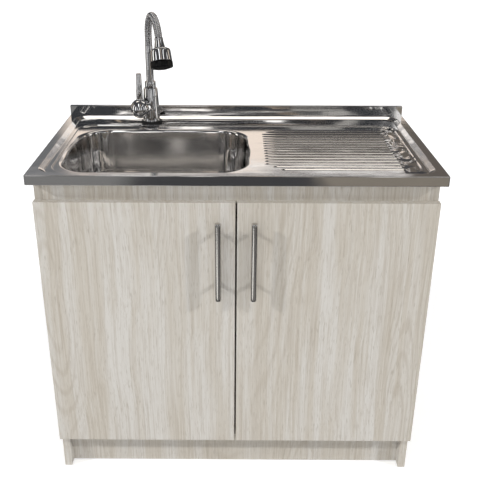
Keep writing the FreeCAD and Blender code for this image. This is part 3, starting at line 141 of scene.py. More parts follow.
def makeOakGroup():
    # washed oak print: long vertical bands, growth rings in places, fine fibres and short darker pores
    group, given, out = newGroup(
        "oakGrain", [("Vector", "Vector", None), ("Pale", "Color", (*oak["pale"], 1)),
                     ("Mid", "Color", (*oak["mid"], 1)), ("Dark", "Color", (*oak["dark"], 1)),
                     ("Pore", "Color", (*oak["pore"], 1))],
        [("Color", "Color"), ("Height", "Float"), ("Roughness", "Float")])
    vector = given.outputs["Vector"]
    bent = noiseNode(group, stretched(group, vector, (1, 1, 0.55)), 4.0, 2.0)
    push = group.nodes.new("ShaderNodeVectorMath")
    push.operation = "MULTIPLY_ADD"
    group.links.new(bent, push.inputs[0])
    push.inputs[1].default_value = (0.03, 0.03, 0)
    group.links.new(vector, push.inputs[2])
    along = push.outputs["Vector"]
    bands = noiseNode(group, stretched(group, along, (1, 1, 0.035)), oak["bandScale"], 3.0, 0.6, 0.2)
    broad = noiseNode(group, stretched(group, along, (1, 1, 0.12)), 5.0, 1.0)
    flow = noiseNode(group, stretched(group, along, (1, 1, 0.14)), 7.0, 1.0, 0.4)
    rings = mathNode(group, "SINE", mathNode(group, "MULTIPLY", flow, oak["rings"] * 2 * math.pi), None)
    fibres = noiseNode(group, stretched(group, along, (1, 1, 0.012)), oak["fibreScale"], 3.0, 0.75)
    streaks = noiseNode(group, stretched(group, along, (1, 1, 0.012)), oak["fibreScale"] * 0.42, 2.0, 0.6)
    fleck = noiseNode(group, stretched(group, along, (1, 1, 0.07)), oak["poreScale"], 1.0, 0.5)
    tint = mixColours(group, spread(group, bands, 0.40, 0.60, smooth=True), given.outputs["Pale"],
                      given.outputs["Mid"])
    tint = mixColours(group, spread(group, broad, 0.45, 0.70, (0, 0.6), True), tint, given.outputs["Mid"])
    ringShare = mathNode(group, "MULTIPLY", spread(group, rings, 0.2, 1.0, (0, 0.42)),
                         spread(group, broad, 0.46, 0.58, smooth=True))
    tint = mixColours(group, ringShare, tint, given.outputs["Dark"])
    tint = mixColours(group, spread(group, streaks, 0.53, 0.70, (0, 0.42)), tint, given.outputs["Dark"])
    tint = mixColours(group, spread(group, streaks, 0.45, 0.30, (0, 0.50)), tint, given.outputs["Pale"])
    tint = mixColours(group, spread(group, fibres, 0.51, 0.68, (0, 0.55)), tint, given.outputs["Dark"])
    tint = mixColours(group, spread(group, fibres, 0.47, 0.32, (0, 0.5)), tint, given.outputs["Pale"])
    tint = mixColours(group, spread(group, fleck, 0.60, 0.72, (0, 0.5)), tint, given.outputs["Pore"])
    group.links.new(tint, out.inputs["Color"])
    height = mathNode(group, "MULTIPLY_ADD", fibres, 0.6, mathNode(group, "MULTIPLY", fleck, -0.5))
    group.links.new(height, out.inputs["Height"])
    group.links.new(spread(group, fibres, 0.3, 0.7, (0.42, 0.56)), out.inputs["Roughness"])
    return group


def makeSteelGroup():
    # polished sheet: fine rolling lines along X, soft waves in the sheet and faint wipe marks
    group, given, out = newGroup(
        "steelFinish", [("Vector", "Vector", None), ("Gloss", "Float", 0.16), ("Streaks", "Float", 0.06),
                        ("Tone", "Color", (0.62, 0.61, 0.60, 1))],
        [("Color", "Color"), ("Roughness", "Float"), ("Lines", "Float"), ("Waves", "Float")])
    vector = given.outputs["Vector"]
    lines = noiseNode(group, stretched(group, vector, (0.02, 1, 1)), 900.0, 2.0, 0.6)
    wipes = noiseNode(group, stretched(group, vector, (0.35, 1, 1)), 18.0, 4.0, 0.65, 0.6)
    waves = noiseNode(group, vector, 9.0, 2.0, 0.5)
    spots = noiseNode(group, vector, 160.0, 2.0, 0.5)
    rough = mathNode(group, "MULTIPLY_ADD", lines, given.outputs["Streaks"], given.outputs["Gloss"])
    rough = mathNode(group, "ADD", rough, spread(group, wipes, 0.45, 0.8, (0, 0.06)))
    rough = mathNode(group, "ADD", rough, spread(group, spots, 0.66, 0.8, (0, 0.05)))
    group.links.new(rough, out.inputs["Roughness"])
    shade = mixColours(group, spread(group, wipes, 0.45, 0.8, (0, 0.14)), given.outputs["Tone"],
                       (0.48, 0.47, 0.46))
    group.links.new(shade, out.inputs["Color"])
    group.links.new(lines, out.inputs["Lines"])
    group.links.new(waves, out.inputs["Waves"])
    return group


def makeSpeckGroup():
    # what handling leaves on plain parts: slow gloss changes and a fine tooth
    group, given, out = newGroup(
        "handledFinish", [("Vector", "Vector", None), ("Base", "Color", (0.5, 0.5, 0.5, 1)),
                          ("Worn", "Color", (0.6, 0.6, 0.6, 1)), ("Gloss", "Float", 0.4),
                          ("Change", "Float", 0.1), ("Tooth", "Float", 600.0)],
        [("Color", "Color"), ("Roughness", "Float"), ("Height", "Float")])
    vector = given.outputs["Vector"]
    slow = noiseNode(group, vector, 45.0, 4.0, 0.6)
    tooth = group.nodes.new("ShaderNodeTexNoise")
    group.links.new(vector, tooth.inputs["Vector"])
    group.links.new(given.outputs["Tooth"], tooth.inputs["Scale"])
    tooth.inputs["Detail"].default_value = 2.0
    rough = mathNode(group, "MULTIPLY_ADD", slow, given.outputs["Change"], given.outputs["Gloss"])
    group.links.new(rough, out.inputs["Roughness"])
    tint = mixColours(group, spread(group, slow, 0.45, 0.75, (0, 0.6)), given.outputs["Base"],
                      given.outputs["Worn"])
    group.links.new(tint, out.inputs["Color"])
    group.links.new(tooth.outputs["Fac"], out.inputs["Height"])
    return group


def makePatchGroup():
    # one inside a box with soft sides, nought outside it
    group, given, out = newGroup(
        "softPatch", [("Vector", "Vector", None), ("Low", "Vector", None), ("High", "Vector", None),
                      ("Soft", "Float", 0.05)], [("Mask", "Float")])
    spots = []
    for label in ("Vector", "Low", "High"):
        parts = group.nodes.new("ShaderNodeSeparateXYZ")
        group.links.new(given.outputs[label], parts.inputs[0])
        spots.append(parts.outputs)
    soft = given.outputs["Soft"]
    mask = None
    for axis in range(3):
        place, low, high = (spot[axis] for spot in spots)
        inward = mathNode(group, "MINIMUM", mathNode(group, "SUBTRACT", place, low),
                          mathNode(group, "SUBTRACT", high, place))
        ramp = group.nodes.new("ShaderNodeMapRange")
        ramp.interpolation_type = "SMOOTHSTEP"
        group.links.new(mathNode(group, "DIVIDE", inward, soft), ramp.inputs["Value"])
        ramp.inputs["From Min"].default_value = -1
        ramp.inputs["From Max"].default_value = 1
        mask = ramp.outputs[0] if mask is None else mathNode(group, "MULTIPLY", mask, ramp.outputs[0])
    group.links.new(mask, out.inputs["Mask"])
    return group


groups = dict(oak=makeOakGroup(), steel=makeSteelGroup(), handled=makeSpeckGroup(), patch=makePatchGroup())


def patchMask(tree, vector, low, high, soft):
    mask = tree.nodes.new("ShaderNodeGroup")
    mask.node_tree = groups["patch"]
    tree.links.new(vector, mask.inputs["Vector"])
    mask.inputs["Low"].default_value = low
    mask.inputs["High"].default_value = high
    mask.inputs["Soft"].default_value = soft
    return mask.outputs["Mask"]


def newMaterial(name, groupName):
    made = bpy.data.materials.new(name)
    made.use_nodes = True
    tree = made.node_tree
    shader = tree.nodes["Principled BSDF"]
    place = tree.nodes.new("ShaderNodeTexCoord")
    mapping = tree.nodes.new("ShaderNodeMapping")
    tree.links.new(place.outputs["Object"], mapping.inputs["Vector"])
    finish = tree.nodes.new("ShaderNodeGroup")
    finish.node_tree = groups[groupName]
    tree.links.new(mapping.outputs["Vector"], finish.inputs["Vector"])
    tree.links.new(finish.outputs["Color"], shader.inputs["Base Color"])
    tree.links.new(finish.outputs["Roughness"], shader.inputs["Roughness"])
    return made, tree, shader, mapping, finish


def addBump(tree, shader, height, strength, distance, under=None):
    bump = tree.nodes.new("ShaderNodeBump")
    bump.inputs["Strength"].default_value = strength
    bump.inputs["Distance"].default_value = distance
    tree.links.new(height, bump.inputs["Height"])
    if under is not None:
        tree.links.new(under, bump.inputs["Normal"])
    tree.links.new(bump.outputs["Normal"], shader.inputs["Normal"])
    return bump.outputs["Normal"]


# the last argument scales all four print colours; set above one, it paints light into the print
def oakMaterial(name, shift, turn=(0, 0, 0), brightnessAndPaintedLight=1.0):
    made, tree, shader, mapping, finish = newMaterial(name, "oak")
    mapping.inputs["Location"].default_value = shift
    mapping.inputs["Rotation"].default_value = turn
    for label in ("Pale", "Mid", "Dark", "Pore"):
        colour = oak[label.lower()]
        finish.inputs[label].default_value = (*(part * brightnessAndPaintedLight for part in colour), 1)
    shader.inputs["Specular IOR Level"].default_value = 0.35
    addBump(tree, shader, finish.outputs["Height"], 0.25, 0.0004)
    return made


def steelMaterial(name, tone, gloss, streaks, waves, lines=0.04, along=(0, 0, 0)):
    made, tree, shader, mapping, finish = newMaterial(name, "steel")
    mapping.inputs["Rotation"].default_value = along
    finish.inputs["Tone"].default_value = (*tone, 1)
    finish.inputs["Gloss"].default_value = gloss
    finish.inputs["Streaks"].default_value = streaks
    shader.inputs["Metallic"].default_value = 1.0
    under = addBump(tree, shader, finish.outputs["Waves"], waves, 0.004) if waves else None
    addBump(tree, shader, finish.outputs["Lines"], lines, 0.0002, under)
    return made


sheetForm = dict(tone=(0.68, 0.67, 0.66), gloss=0.05, streaks=0.05, waves=0.22, lines=0.02,
                 satin=dict(low=(-0.33, 0.105, 0.66), high=(-0.04, 0.16, 0.792), soft=0.012, gloss=0.05),
                 uneven=dict(low=(0.374, -0.19, 0.79), high=(0.408, 0.15, 0.81), soft=0.010, scale=17.0,
                             strength=0.9, distance=0.010))


def sheetMaterial(name):
    # the pressed sheet: satin back wall in the bowl, and uneven metal right of the beads
    form, satin, uneven = sheetForm, sheetForm["satin"], sheetForm["uneven"]
    made = steelMaterial(name, form["tone"], form["gloss"], form["streaks"], form["waves"], form["lines"])
    tree = made.node_tree
    shader = tree.nodes["Principled BSDF"]
    finish = [node for node in tree.nodes if node.type == "GROUP"][0]
    spot = tree.nodes.new("ShaderNodeTexCoord").outputs["Object"]
    wall = patchMask(tree, spot, satin["low"], satin["high"], satin["soft"])
    tree.links.new(mathNode(tree, "MULTIPLY_ADD", wall, satin["gloss"], form["gloss"]),
                   finish.inputs["Gloss"])
    strip = patchMask(tree, spot, uneven["low"], uneven["high"], uneven["soft"])
    swell = noiseNode(tree, stretched(tree, spot, (1.5, 0.8, 1)), uneven["scale"], 1.0, 0.4, 1.0)
    before = shader.inputs["Normal"].links[0].from_socket
    addBump(tree, shader, mathNode(tree, "MULTIPLY", strip, swell), uneven["strength"],
            uneven["distance"], before)
    return made


def handledMaterial(name, base, worn, gloss, change, tooth=600.0, metal=0.0, bump=0.1, specular=0.5):
    made, tree, shader, _, finish = newMaterial(name, "handled")
    finish.inputs["Base"].default_value = (*base, 1)
    finish.inputs["Worn"].default_value = (*worn, 1)
    finish.inputs["Gloss"].default_value = gloss
    finish.inputs["Change"].default_value = change
    finish.inputs["Tooth"].default_value = tooth
    shader.inputs["Metallic"].default_value = metal
    shader.inputs["Specular IOR Level"].default_value = specular
    addBump(tree, shader, finish.outputs["Height"], bump, 0.0003)
    return made


paint = dict(
    doorLeft=oakMaterial("oakDoorLeft", (0.0, 0.0, 0.0)),
    doorRight=oakMaterial("oakDoorRight", (1.37, 0.4, 0.9)),
    sides=oakMaterial("oakSides", (0.6, 2.3, 1.7)),
    # the rail's print is painted 16 % paler: painted light that makes up for the shade under the sink's
    # overhang
    rail=oakMaterial("oakRailPaintedPale", (2.1, 1.1, 3.3), brightnessAndPaintedLight=1.16),
    # the toe's print is scaled to 0.95, a little darker
    toe=oakMaterial("oakToe", (3.7, 0.3, 5.1), brightnessAndPaintedLight=0.95),
    inside=oakMaterial("oakInside", (0.2, 3.0, 0.5), turn=(0, flat, 0)),
    sheet=sheetMaterial("pressedSteel"),
    drain=steelMaterial("drainSteel", (0.62, 0.61, 0.60), 0.2, 0.1, 0.0),
    handle=steelMaterial("brushedBar", (0.60, 0.59, 0.57), 0.16, 0.10, 0.0, 0.03, (0, flat, 0)),
    hardware=handledMaterial("zincPlate", (0.52, 0.53, 0.54), (0.42, 0.42, 0.42), 0.28, 0.15, metal=1.0),
    chrome=handledMaterial("polishedChrome", (0.68, 0.68, 0.69), (0.62, 0.62, 0.63), 0.02, 0.03, 200.0,
                           1.0, 0.0),
    brass=handledMaterial("turnedBrass", (0.62, 0.46, 0.20), (0.5, 0.36, 0.16), 0.25, 0.15, metal=1.0),
    rubber=handledMaterial("blackRubber", (0.012, 0.012, 0.012), (0.03, 0.03, 0.03), 0.55, 0.2),
    blackPlastic=handledMaterial("blackPlastic", (0.003, 0.003, 0.003), (0.006, 0.006, 0.006), 0.06, 0.10,
                                 bump=0.02, specular=0.18),
    whitePlastic=handledMaterial("whitePlastic", (0.72, 0.72, 0.70), (0.66, 0.66, 0.64), 0.4, 0.15),
    greyPlastic=handledMaterial("greyPlastic", (0.20, 0.20, 0.21), (0.26, 0.26, 0.26), 0.45, 0.15),
    backBoard=handledMaterial("backBoard", (0.62, 0.60, 0.56), (0.56, 0.54, 0.50), 0.6, 0.15, 300.0),
    capPlastic=handledMaterial("screwCapPlastic", (0.56, 0.52, 0.46), (0.5, 0.46, 0.4), 0.45, 0.1),
)
print("materials made:", len(paint))


def finishPiece(name, bm, material, body, stands=(), sharp=32):
    mesh = bpy.data.meshes.new(name)
    for face in bm.faces:
        face.smooth = True
    bm.to_mesh(mesh)
    bm.free()
    mesh.set_sharp_from_angle(angle=math.radians(sharp))
    mesh.materials.append(material)
    piece = bpy.data.objects.new(name, mesh)
    bpy.context.scene.collection.objects.link(piece)
    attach(piece, body)
    if stands:
        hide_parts(*stands)
    return piece


def roundedPanel(bm, limits, corner, height=0.0, segments=8, bulge=0.0, cuts=0):
    # a flat face with rounded corners, its long sides bowed outwards if asked
    left, front, right, back = limits
    made = bmesh.ops.create_grid(bm, x_segments=1, y_segments=1, size=0.5)["verts"]
    for vert in made:
        vert.co = ((left + right) / 2 + vert.co.x * (right - left),
                   (front + back) / 2 + vert.co.y * (back - front), height)
    face = made[0].link_faces[0]
    if corner:
        arcs = bmesh.ops.bevel(bm, geom=made, offset=corner, offset_type="OFFSET", segments=segments,
                               profile=0.5, affect="VERTICES", material=-1)["verts"]
        face = arcs[0].link_faces[0]
    if cuts:
        sides = [edge for edge in face.edges if edge.calc_length() > corner]
        bmesh.ops.subdivide_edges(bm, edges=sides, cuts=cuts)
        for vert in face.verts:
            acrossX = (vert.co.x - left - corner) / (right - left - 2 * corner)
            acrossY = (vert.co.y - front - corner) / (back - front - 2 * corner)
            if 0 < acrossX < 1:
                vert.co.y += math.copysign(bulge * math.sin(math.pi * acrossX)**2,
                                           vert.co.y - (front + back) / 2)
            elif 0 < acrossY < 1:
                vert.co.x += math.copysign(bulge * math.sin(math.pi * acrossY)**2,
                                           vert.co.x - (left + right) / 2)
    return face


def press(bm, face, profile):
    # insets the face step by step; the profile lists how far in and how far down each ring lies
    for (inBefore, downBefore), (inward, down) in zip(profile, profile[1:]):
        bmesh.ops.inset_individual(bm, faces=[face], thickness=inward - inBefore,
                                   depth=downBefore - down, use_even_offset=True)


def raiseFace(bm, face, steps):
    # lifts a face in steps; short first and last steps keep the wall between them flat
    for step in steps:
        lifted = bmesh.ops.extrude_face_region(bm, geom=[face])["geom"]
        bmesh.ops.translate(bm, vec=(0, 0, step),
                            verts=[item for item in lifted if isinstance(item, bmesh.types.BMVert)])
        if face.is_valid:
            bmesh.ops.delete(bm, geom=[face], context="FACES_ONLY")
        face = [item for item in lifted if isinstance(item, bmesh.types.BMFace)][0]
    return face


def openFace(bm, face):
    rim = list(face.edges)
    bmesh.ops.delete(bm, geom=[face], context="FACES_ONLY")
    return rim


def fillBetween(bm, edges):
    bmesh.ops.triangle_fill(bm, edges=edges, use_beauty=True, use_dissolve=False, normal=(0, 0, 1))


def spun(profile, steps=64, rounding=0.0, segments=3, angle=25, matrix=None):
    # turns a closed outline of (radius, height) about Z and softens its crisp rings
    bm = bmesh.new()
    verts = [bm.verts.new((radius, 0, height)) for radius, height in profile]
    for start, end in zip(verts, verts[1:] + verts[:1]):
        bm.edges.new((start, end))
    bmesh.ops.spin(bm, geom=bm.verts[:] + bm.edges[:], cent=(0, 0, 0), axis=(0, 0, 1),
                   angle=2 * math.pi, steps=steps, use_merge=True)
    bmesh.ops.remove_doubles(bm, verts=bm.verts, dist=1e-6)
    loose = [edge for edge in bm.edges if not edge.link_faces]
    bmesh.ops.delete(bm, geom=loose, context="EDGES")
    bmesh.ops.recalc_face_normals(bm, faces=bm.faces)
    if rounding:
        crisp = [edge for edge in bm.edges
                 if len(edge.link_faces) == 2 and edge.calc_face_angle(0) > math.radians(angle)]
        bmesh.ops.bevel(bm, geom=crisp, offset=rounding, offset_type="OFFSET", segments=segments,
                        profile=0.5, affect="EDGES", material=-1, clamp_overlap=True)
    if matrix is not None:
        bmesh.ops.transform(bm, matrix=matrix, verts=bm.verts)
    return bm


def scaled(profile):
    return [(radius * mm, height * mm) for radius, height in profile]


sinkForm = dict(border=19, slope=13, recess=6.2, recessCorner=38, backBorder=5, upstandDepth=10,
                upstand=26.5, pan=(41, 36, 859, 417), panCorner=48, step=2.5, stepRun=3.5,
                bowl=(57.5, 47.5, 475.5, 375.5), bowlCorner=77, bowlDepth=145, draft=4, rim=8,
                floorRadius=45, bulge=4, cornerRound=2.5, arris=1.3, tapHole=17.5, drainHole=43.3,
                tap=(226, 445), beadEnd=822, beadFront=69.4, beadPitch=19.28, beadCount=17, beadWidth=10.4,
                beadHeight=1.7, beadStart=516, beadStep={0: 34, 1: 17, 15: 11, 16: 30})


def recessProfile():
    form = sinkForm
    run, drop = form["slope"], form["recess"]
    return [(0, 0), (0.4, 0), (0.9, 0.08), (1.5, 0.34), (2.3, 0.80), (run - 2.8, drop - 0.95),
            (run - 1.7, drop - 0.42), (run - 0.6, drop - 0.1), (run + 0.4, drop), (run + 0.8, drop)]


def stepProfile():
    run, drop = sinkForm["stepRun"], sinkForm["step"]
    return [(0, 0), (run * 0.1, 0), (run * 0.25, drop * 0.08), (run * 0.4, drop * 0.3),
            (run * 0.6, drop * 0.7), (run * 0.76, drop * 0.92), (run * 0.9, drop), (run, drop)]


def bowlProfile():
    # the rim's arc, the drafted wall and the floor's arc as (in, down), and how far the rim reaches outside
    form = sinkForm
    rim, floor, draft = form["rim"], form["floorRadius"], math.radians(form["draft"])
    reach = rim * math.tan((flat - draft) / 2)
    turns = [flat + (draft - flat) * step / 7 for step in range(8)]
    top = [(rim * math.cos(turn), rim - rim * math.sin(turn)) for turn in turns]
    wallEnd = form["bowlDepth"] - floor * (1 - math.sin(draft))
    lean = math.tan(draft)
    foot = (top[-1][0] + (wallEnd - top[-1][1]) * lean, wallEnd)
    middle = ((top[-1][0] + foot[0]) / 2, (top[-1][1] + foot[1]) / 2)
    centre = (foot[0] + floor * math.cos(draft), foot[1] - floor * math.sin(draft))
    turns = [draft + (flat - draft) * step / 10 for step in range(11)]
    bend = [(centre[0] - floor * math.cos(turn), centre[1] + floor * math.sin(turn)) for turn in turns]
    return [(-0.6, 0)] + top + [middle] + bend, reach + 0.6


def circleLoop(bm, x, y, radius, height, segments=48):
    made = bmesh.ops.create_circle(bm, cap_ends=False, radius=radius, segments=segments)["verts"]
    bmesh.ops.translate(bm, vec=(x, y, height), verts=made)
    return list({edge for vert in made for edge in vert.link_edges})


def beadField(bm, height):
    # a fine grid lifted along each bead's line, so the ribs and the sheet between them are one surface
    form = sinkForm
    half, pitch, last = form["beadWidth"] / 2, form["beadPitch"], form["beadCount"] - 1
    left, right = form["beadStart"] - 7, form["beadEnd"] + 7
    front, back = form["beadFront"] - half - 3, form["beadFront"] + last * pitch + half + 3
    grid = bmesh.ops.create_grid(bm, x_segments=110, y_segments=200, size=0.5)["verts"]
    for vert in grid:
        x, y = left + (vert.co.x + 0.5) * (right - left), front + (vert.co.y + 0.5) * (back - front)
        row = min(max(round((y - form["beadFront"]) / pitch), 0), last)
        start = form["beadStart"] + form["beadStep"].get(row, 0) + half
        nearest = min(max(x, start), form["beadEnd"] - half)
        reach = min(math.hypot(x - nearest, y - form["beadFront"] - row * pitch) / half, 1)
        vert.co = (x, y, height + form["beadHeight"] * (1 + math.cos(math.pi * reach)) / 2)
    return list({edge for vert in grid for edge in vert.link_edges if edge.is_boundary})


def makeSink():
    form = sinkForm
    width, depth = sinkSize["width"], sinkSize["depth"]
    bm = bmesh.new()
    skirt = roundedPanel(bm, (0, 0, width, depth), form["cornerRound"], -sinkSize["skirt"], 5)
    # the skirt goes up from its lower edge, with a soft arris at the top
    top = raiseFace(bm, skirt, (0.6, sinkSize["skirt"] - form["arris"] - 1.0, 0.4))
    arris = form["arris"]
    ring = [(arris - arris * math.cos(math.radians(a)), -arris * math.sin(math.radians(a)))
            for a in range(0, 91, 18)] + [(arris + 0.4, -arris)]
    press(bm, top, ring)
    # the upstand is folded up from the back of the deck
    foldY = depth - form["upstandDepth"]
    bmesh.ops.bisect_plane(bm, geom=bm.verts[:] + bm.edges[:] + bm.faces[:], plane_co=(0, foldY, 0),
                           plane_no=(0, 1, 0))
    flats = [face for face in bm.faces if abs(face.calc_center_median().z) < 0.01
             and face.normal.z > 0.99 and face.calc_area() > 1000]
    deck = min(flats, key=lambda face: face.calc_center_median().y)
    strip = max(flats, key=lambda face: face.calc_center_median().y)
    upTop = raiseFace(bm, strip, (0.4, form["upstand"] - 2.4, 0.4))
    press(bm, upTop, [(0, 0), (0.25, -0.65), (0.75, -1.2), (1.6, -1.6)])
    openings = openFace(bm, deck)
    backLimit = depth - form["upstandDepth"] - form["backBorder"]
    recess = roundedPanel(bm, (form["border"], form["border"], width - form["border"], backLimit),
                          form["recessCorner"], 0, 12)
    fillBetween(bm, openings + list(recess.edges))
    press(bm, recess, recessProfile())
    ledge = openFace(bm, recess)
    pan = roundedPanel(bm, form["pan"], form["panCorner"], -form["recess"], 12)
    tapHole = circleLoop(bm, *form["tap"], form["tapHole"], -form["recess"])
    fillBetween(bm, ledge + list(pan.edges) + tapHole)
    press(bm, pan, stepProfile())
    panRim = openFace(bm, pan)
    panLevel = -form["recess"] - form["step"]
    profile, reach = bowlProfile()
    left, front, right, back = form["bowl"]
    bowl = roundedPanel(bm, (left - reach, front - reach, right + reach, back + reach),
                        form["bowlCorner"] + reach, panLevel, 18, form["bulge"], 15)
    fillBetween(bm, panRim + list(bowl.edges) + beadField(bm, panLevel))
    press(bm, bowl, profile)
    floor = openFace(bm, bowl)
    drain = circleLoop(bm, (left + right) / 2, (front + back) / 2, form["drainHole"],
                       panLevel - form["bowlDepth"], 64)
    fillBetween(bm, floor + drain)
    bmesh.ops.remove_doubles(bm, verts=bm.verts, dist=0.002)
    bmesh.ops.recalc_face_normals(bm, faces=bm.faces)
    if sum(face.normal.z * face.calc_area() for face in bm.faces) < 0:
        bmesh.ops.reverse_faces(bm, faces=bm.faces)
    bmesh.ops.scale(bm, vec=(mm, mm, mm), verts=bm.verts)
    bmesh.ops.translate(bm, vec=sinkCorner, verts=bm.verts)
    print("sink faces", len(bm.faces), "open edges", sum(1 for e in bm.edges if e.is_boundary))
    piece = finishPiece("sinkSheet", bm, paint["sheet"], "cabinet", ["sink_top"], 40)
    wall = piece.modifiers.new("sheetThickness", "SOLIDIFY")
    wall.thickness = sinkSize["sheet"] * mm
    wall.offset = -1


makeSink()
print("sink made")


tapForm = dict(foot=23, top=18, seat=5, height=91, branch=18, branchLength=27, branchHeight=42.6,
               azimuth=225, ball=21, ballStart=28, ballEnd=44, pivot=37, cap=25, skirt=8, boss=8.5,
               bossTop=26.5, sleeve=8.3, sleeveTop=50, rodBase=7.5, rodTip=6.9, rodTop=91.5,
               collar=14, neck=9.5, neckTop=182, lead=18, rise=25.5, crest=54, fall=68,
               tilt=21, spoutAzimuth=18.5, ribs=42, ribTop=9.2, ribFoot=7.9, head=71, bore=9.6,
               collarTop=109, neckFoot=61, capHollow=21.6)


def onTap(height=0.0):
    return Matrix.Translation(tapSpot + Vector((0, 0, height * mm)))


def alongBranch():
    turn = Matrix.Rotation(math.radians(tapForm["azimuth"]), 4, "Z")
    return onTap(tapForm["branchHeight"]) @ turn @ Matrix.Rotation(flat, 4, "Y")


def spoutTurn():
    return onTap() @ Matrix.Rotation(math.radians(tapForm["spoutAzimuth"]), 4, "Z")


def makeTapBody():
    form = tapForm
    bore = form["bore"]
    column = [(bore, form["seat"]), (form["foot"] - 0.2, form["seat"]), (form["foot"], form["seat"] + 1.2),
              (form["foot"] - 0.6, form["seat"] + 12), (form["top"] + 1.2, form["height"] - 22),
              (form["top"], form["height"]), (bore, form["height"])]
    bm = spun(scaled(column), 72, 0.7 * mm, 3, 25, onTap())
    finishPiece("tapColumn", bm, paint["chrome"], "cabinet", ["tap_body"], 40)
    housing = [(14.5, 10), (form["branch"], 10), (form["branch"], form["branchLength"]),
               (14.5, form["branchLength"])]
    bm = spun(scaled(housing), 64, 0.6 * mm, 3, 25, alongBranch())
    finishPiece("tapBranch", bm, paint["chrome"], "cabinet", (), 40)
    ball, start, end, pivot = form["ball"], form["ballStart"], form["ballEnd"], form["pivot"]
    lowAngle = math.degrees(math.asin((start - pivot) / ball))
    highAngle = math.degrees(math.asin((end - pivot) / ball))
    dome = []
    for step in range(15):
        angle = math.radians(lowAngle + (highAngle - lowAngle) * step / 14)
        dome.append((ball * math.cos(angle), pivot + ball * math.sin(angle)))
    outline = [(8.4, 24), (14, 24), (14, 27), (form["branch"], 27), (form["branch"], start)] + dome
    outline += [(8.4, end)]
    bm = spun(scaled(outline), 64, 0.0, 3, 25, alongBranch())
    finishPiece("ballCollar", bm, paint["chrome"], "cabinet", ["cartridge_collar"], 30)


def makeLever():
    form = tapForm
    cap, hollow, pivot, skirt = form["cap"], form["capHollow"], form["pivot"], form["skirt"]
    lowAngle = math.degrees(math.asin(-skirt / cap))
    outer = []
    for step in range(25):
        angle = math.radians(lowAngle + (90 - lowAngle) * step / 24)
        outer.append((cap * math.cos(angle), pivot + cap * math.sin(angle)))
    inner = []
    for step in range(13):
        angle = math.radians(90 - 90 * step / 12)
        inner.append((hollow * math.cos(angle), pivot + hollow * math.sin(angle)))
    inner.append((hollow, pivot - skirt))
    bm = spun(scaled(outer + inner), 80, 0.0, 3, 25, alongBranch())
    crisp = [edge for edge in bm.edges if len(edge.link_faces) == 2 and edge.calc_face_angle(0) > 0.8]
    bmesh.ops.bevel(bm, geom=crisp, offset=0.5 * mm, offset_type="OFFSET", segments=2, profile=0.5,
                    affect="EDGES", material=-1)
    finishPiece("leverCap", bm, paint["chrome"], "lever", ["lever_cap"], 40)
    pivotSpot = alongBranch() @ Vector((0, 0, pivot * mm))
    stand = Matrix.Translation(pivotSpot)
    boss = [(0, 22.2), (form["boss"], 22.2), (form["boss"], form["bossTop"]), (0, form["bossTop"])]
    finishPiece("leverBoss", spun(scaled(boss), 48, 0.3 * mm, 2, 25, stand), paint["chrome"], "lever")
    sleeve = [(0, form["bossTop"]), (form["sleeve"], form["bossTop"]),
              (form["sleeve"], form["sleeveTop"] - 1),
              (form["sleeve"] - 0.6, form["sleeveTop"]), (0, form["sleeveTop"])]
    finishPiece("leverSleeve", spun(scaled(sleeve), 48, 0.25 * mm, 2, 25, stand), paint["chrome"],
                "lever", ["lever_sleeve"])
    tip, high = form["rodTip"], form["rodTop"]
    rod = [(0, form["sleeveTop"]), (form["rodBase"], form["sleeveTop"]), (form["rodBase"] - 0.1, 52),
           (tip, high - 3)]
    rod += [(tip - 3 + 3 * math.cos(math.radians(a)), high - 3 + 3 * math.sin(math.radians(a)))
            for a in (18, 36, 54, 72, 90)] + [(0, high)]
    finishPiece("leverRod", spun(scaled(rod), 48, 0.0, 2, 25, stand), paint["chrome"], "lever",
                ["lever_rod"])


def hoseFrame(run):
    # where the hose's middle line is after this many millimetres, and how far it has leaned over
    form = tapForm
    straight = form["lead"] + form["rise"]
    forward, height, lean = 0.0, min(run, straight), 0.0
    left = run - straight
    for radius, sweep in ((form["crest"], 90), (form["fall"], 90 - form["tilt"])):
        if left <= 0:
            break
        turn = min(left / radius, math.radians(sweep))
        forward += radius * (math.cos(lean) - math.cos(lean + turn))
        height += radius * (math.sin(lean + turn) - math.sin(lean))
        lean += turn
        left -= radius * math.radians(sweep)
    rest = max(left, 0)
    return Vector((0, -forward - rest * math.sin(lean), height + rest * math.cos(lean))), lean


def fallEnd():
    form = tapForm
    return (form["lead"] + form["rise"] + form["crest"] * flat
            + form["fall"] * math.radians(90 - form["tilt"]))


def ringAt(run, radius):
    spot, lean = hoseFrame(run)
    place = spoutTurn() @ Matrix.Translation((spot + Vector((0, 0, tapForm["neckTop"]))) * mm)
    return place @ Matrix.Rotation(lean, 4, "X") @ Matrix.Scale(radius * mm, 4)


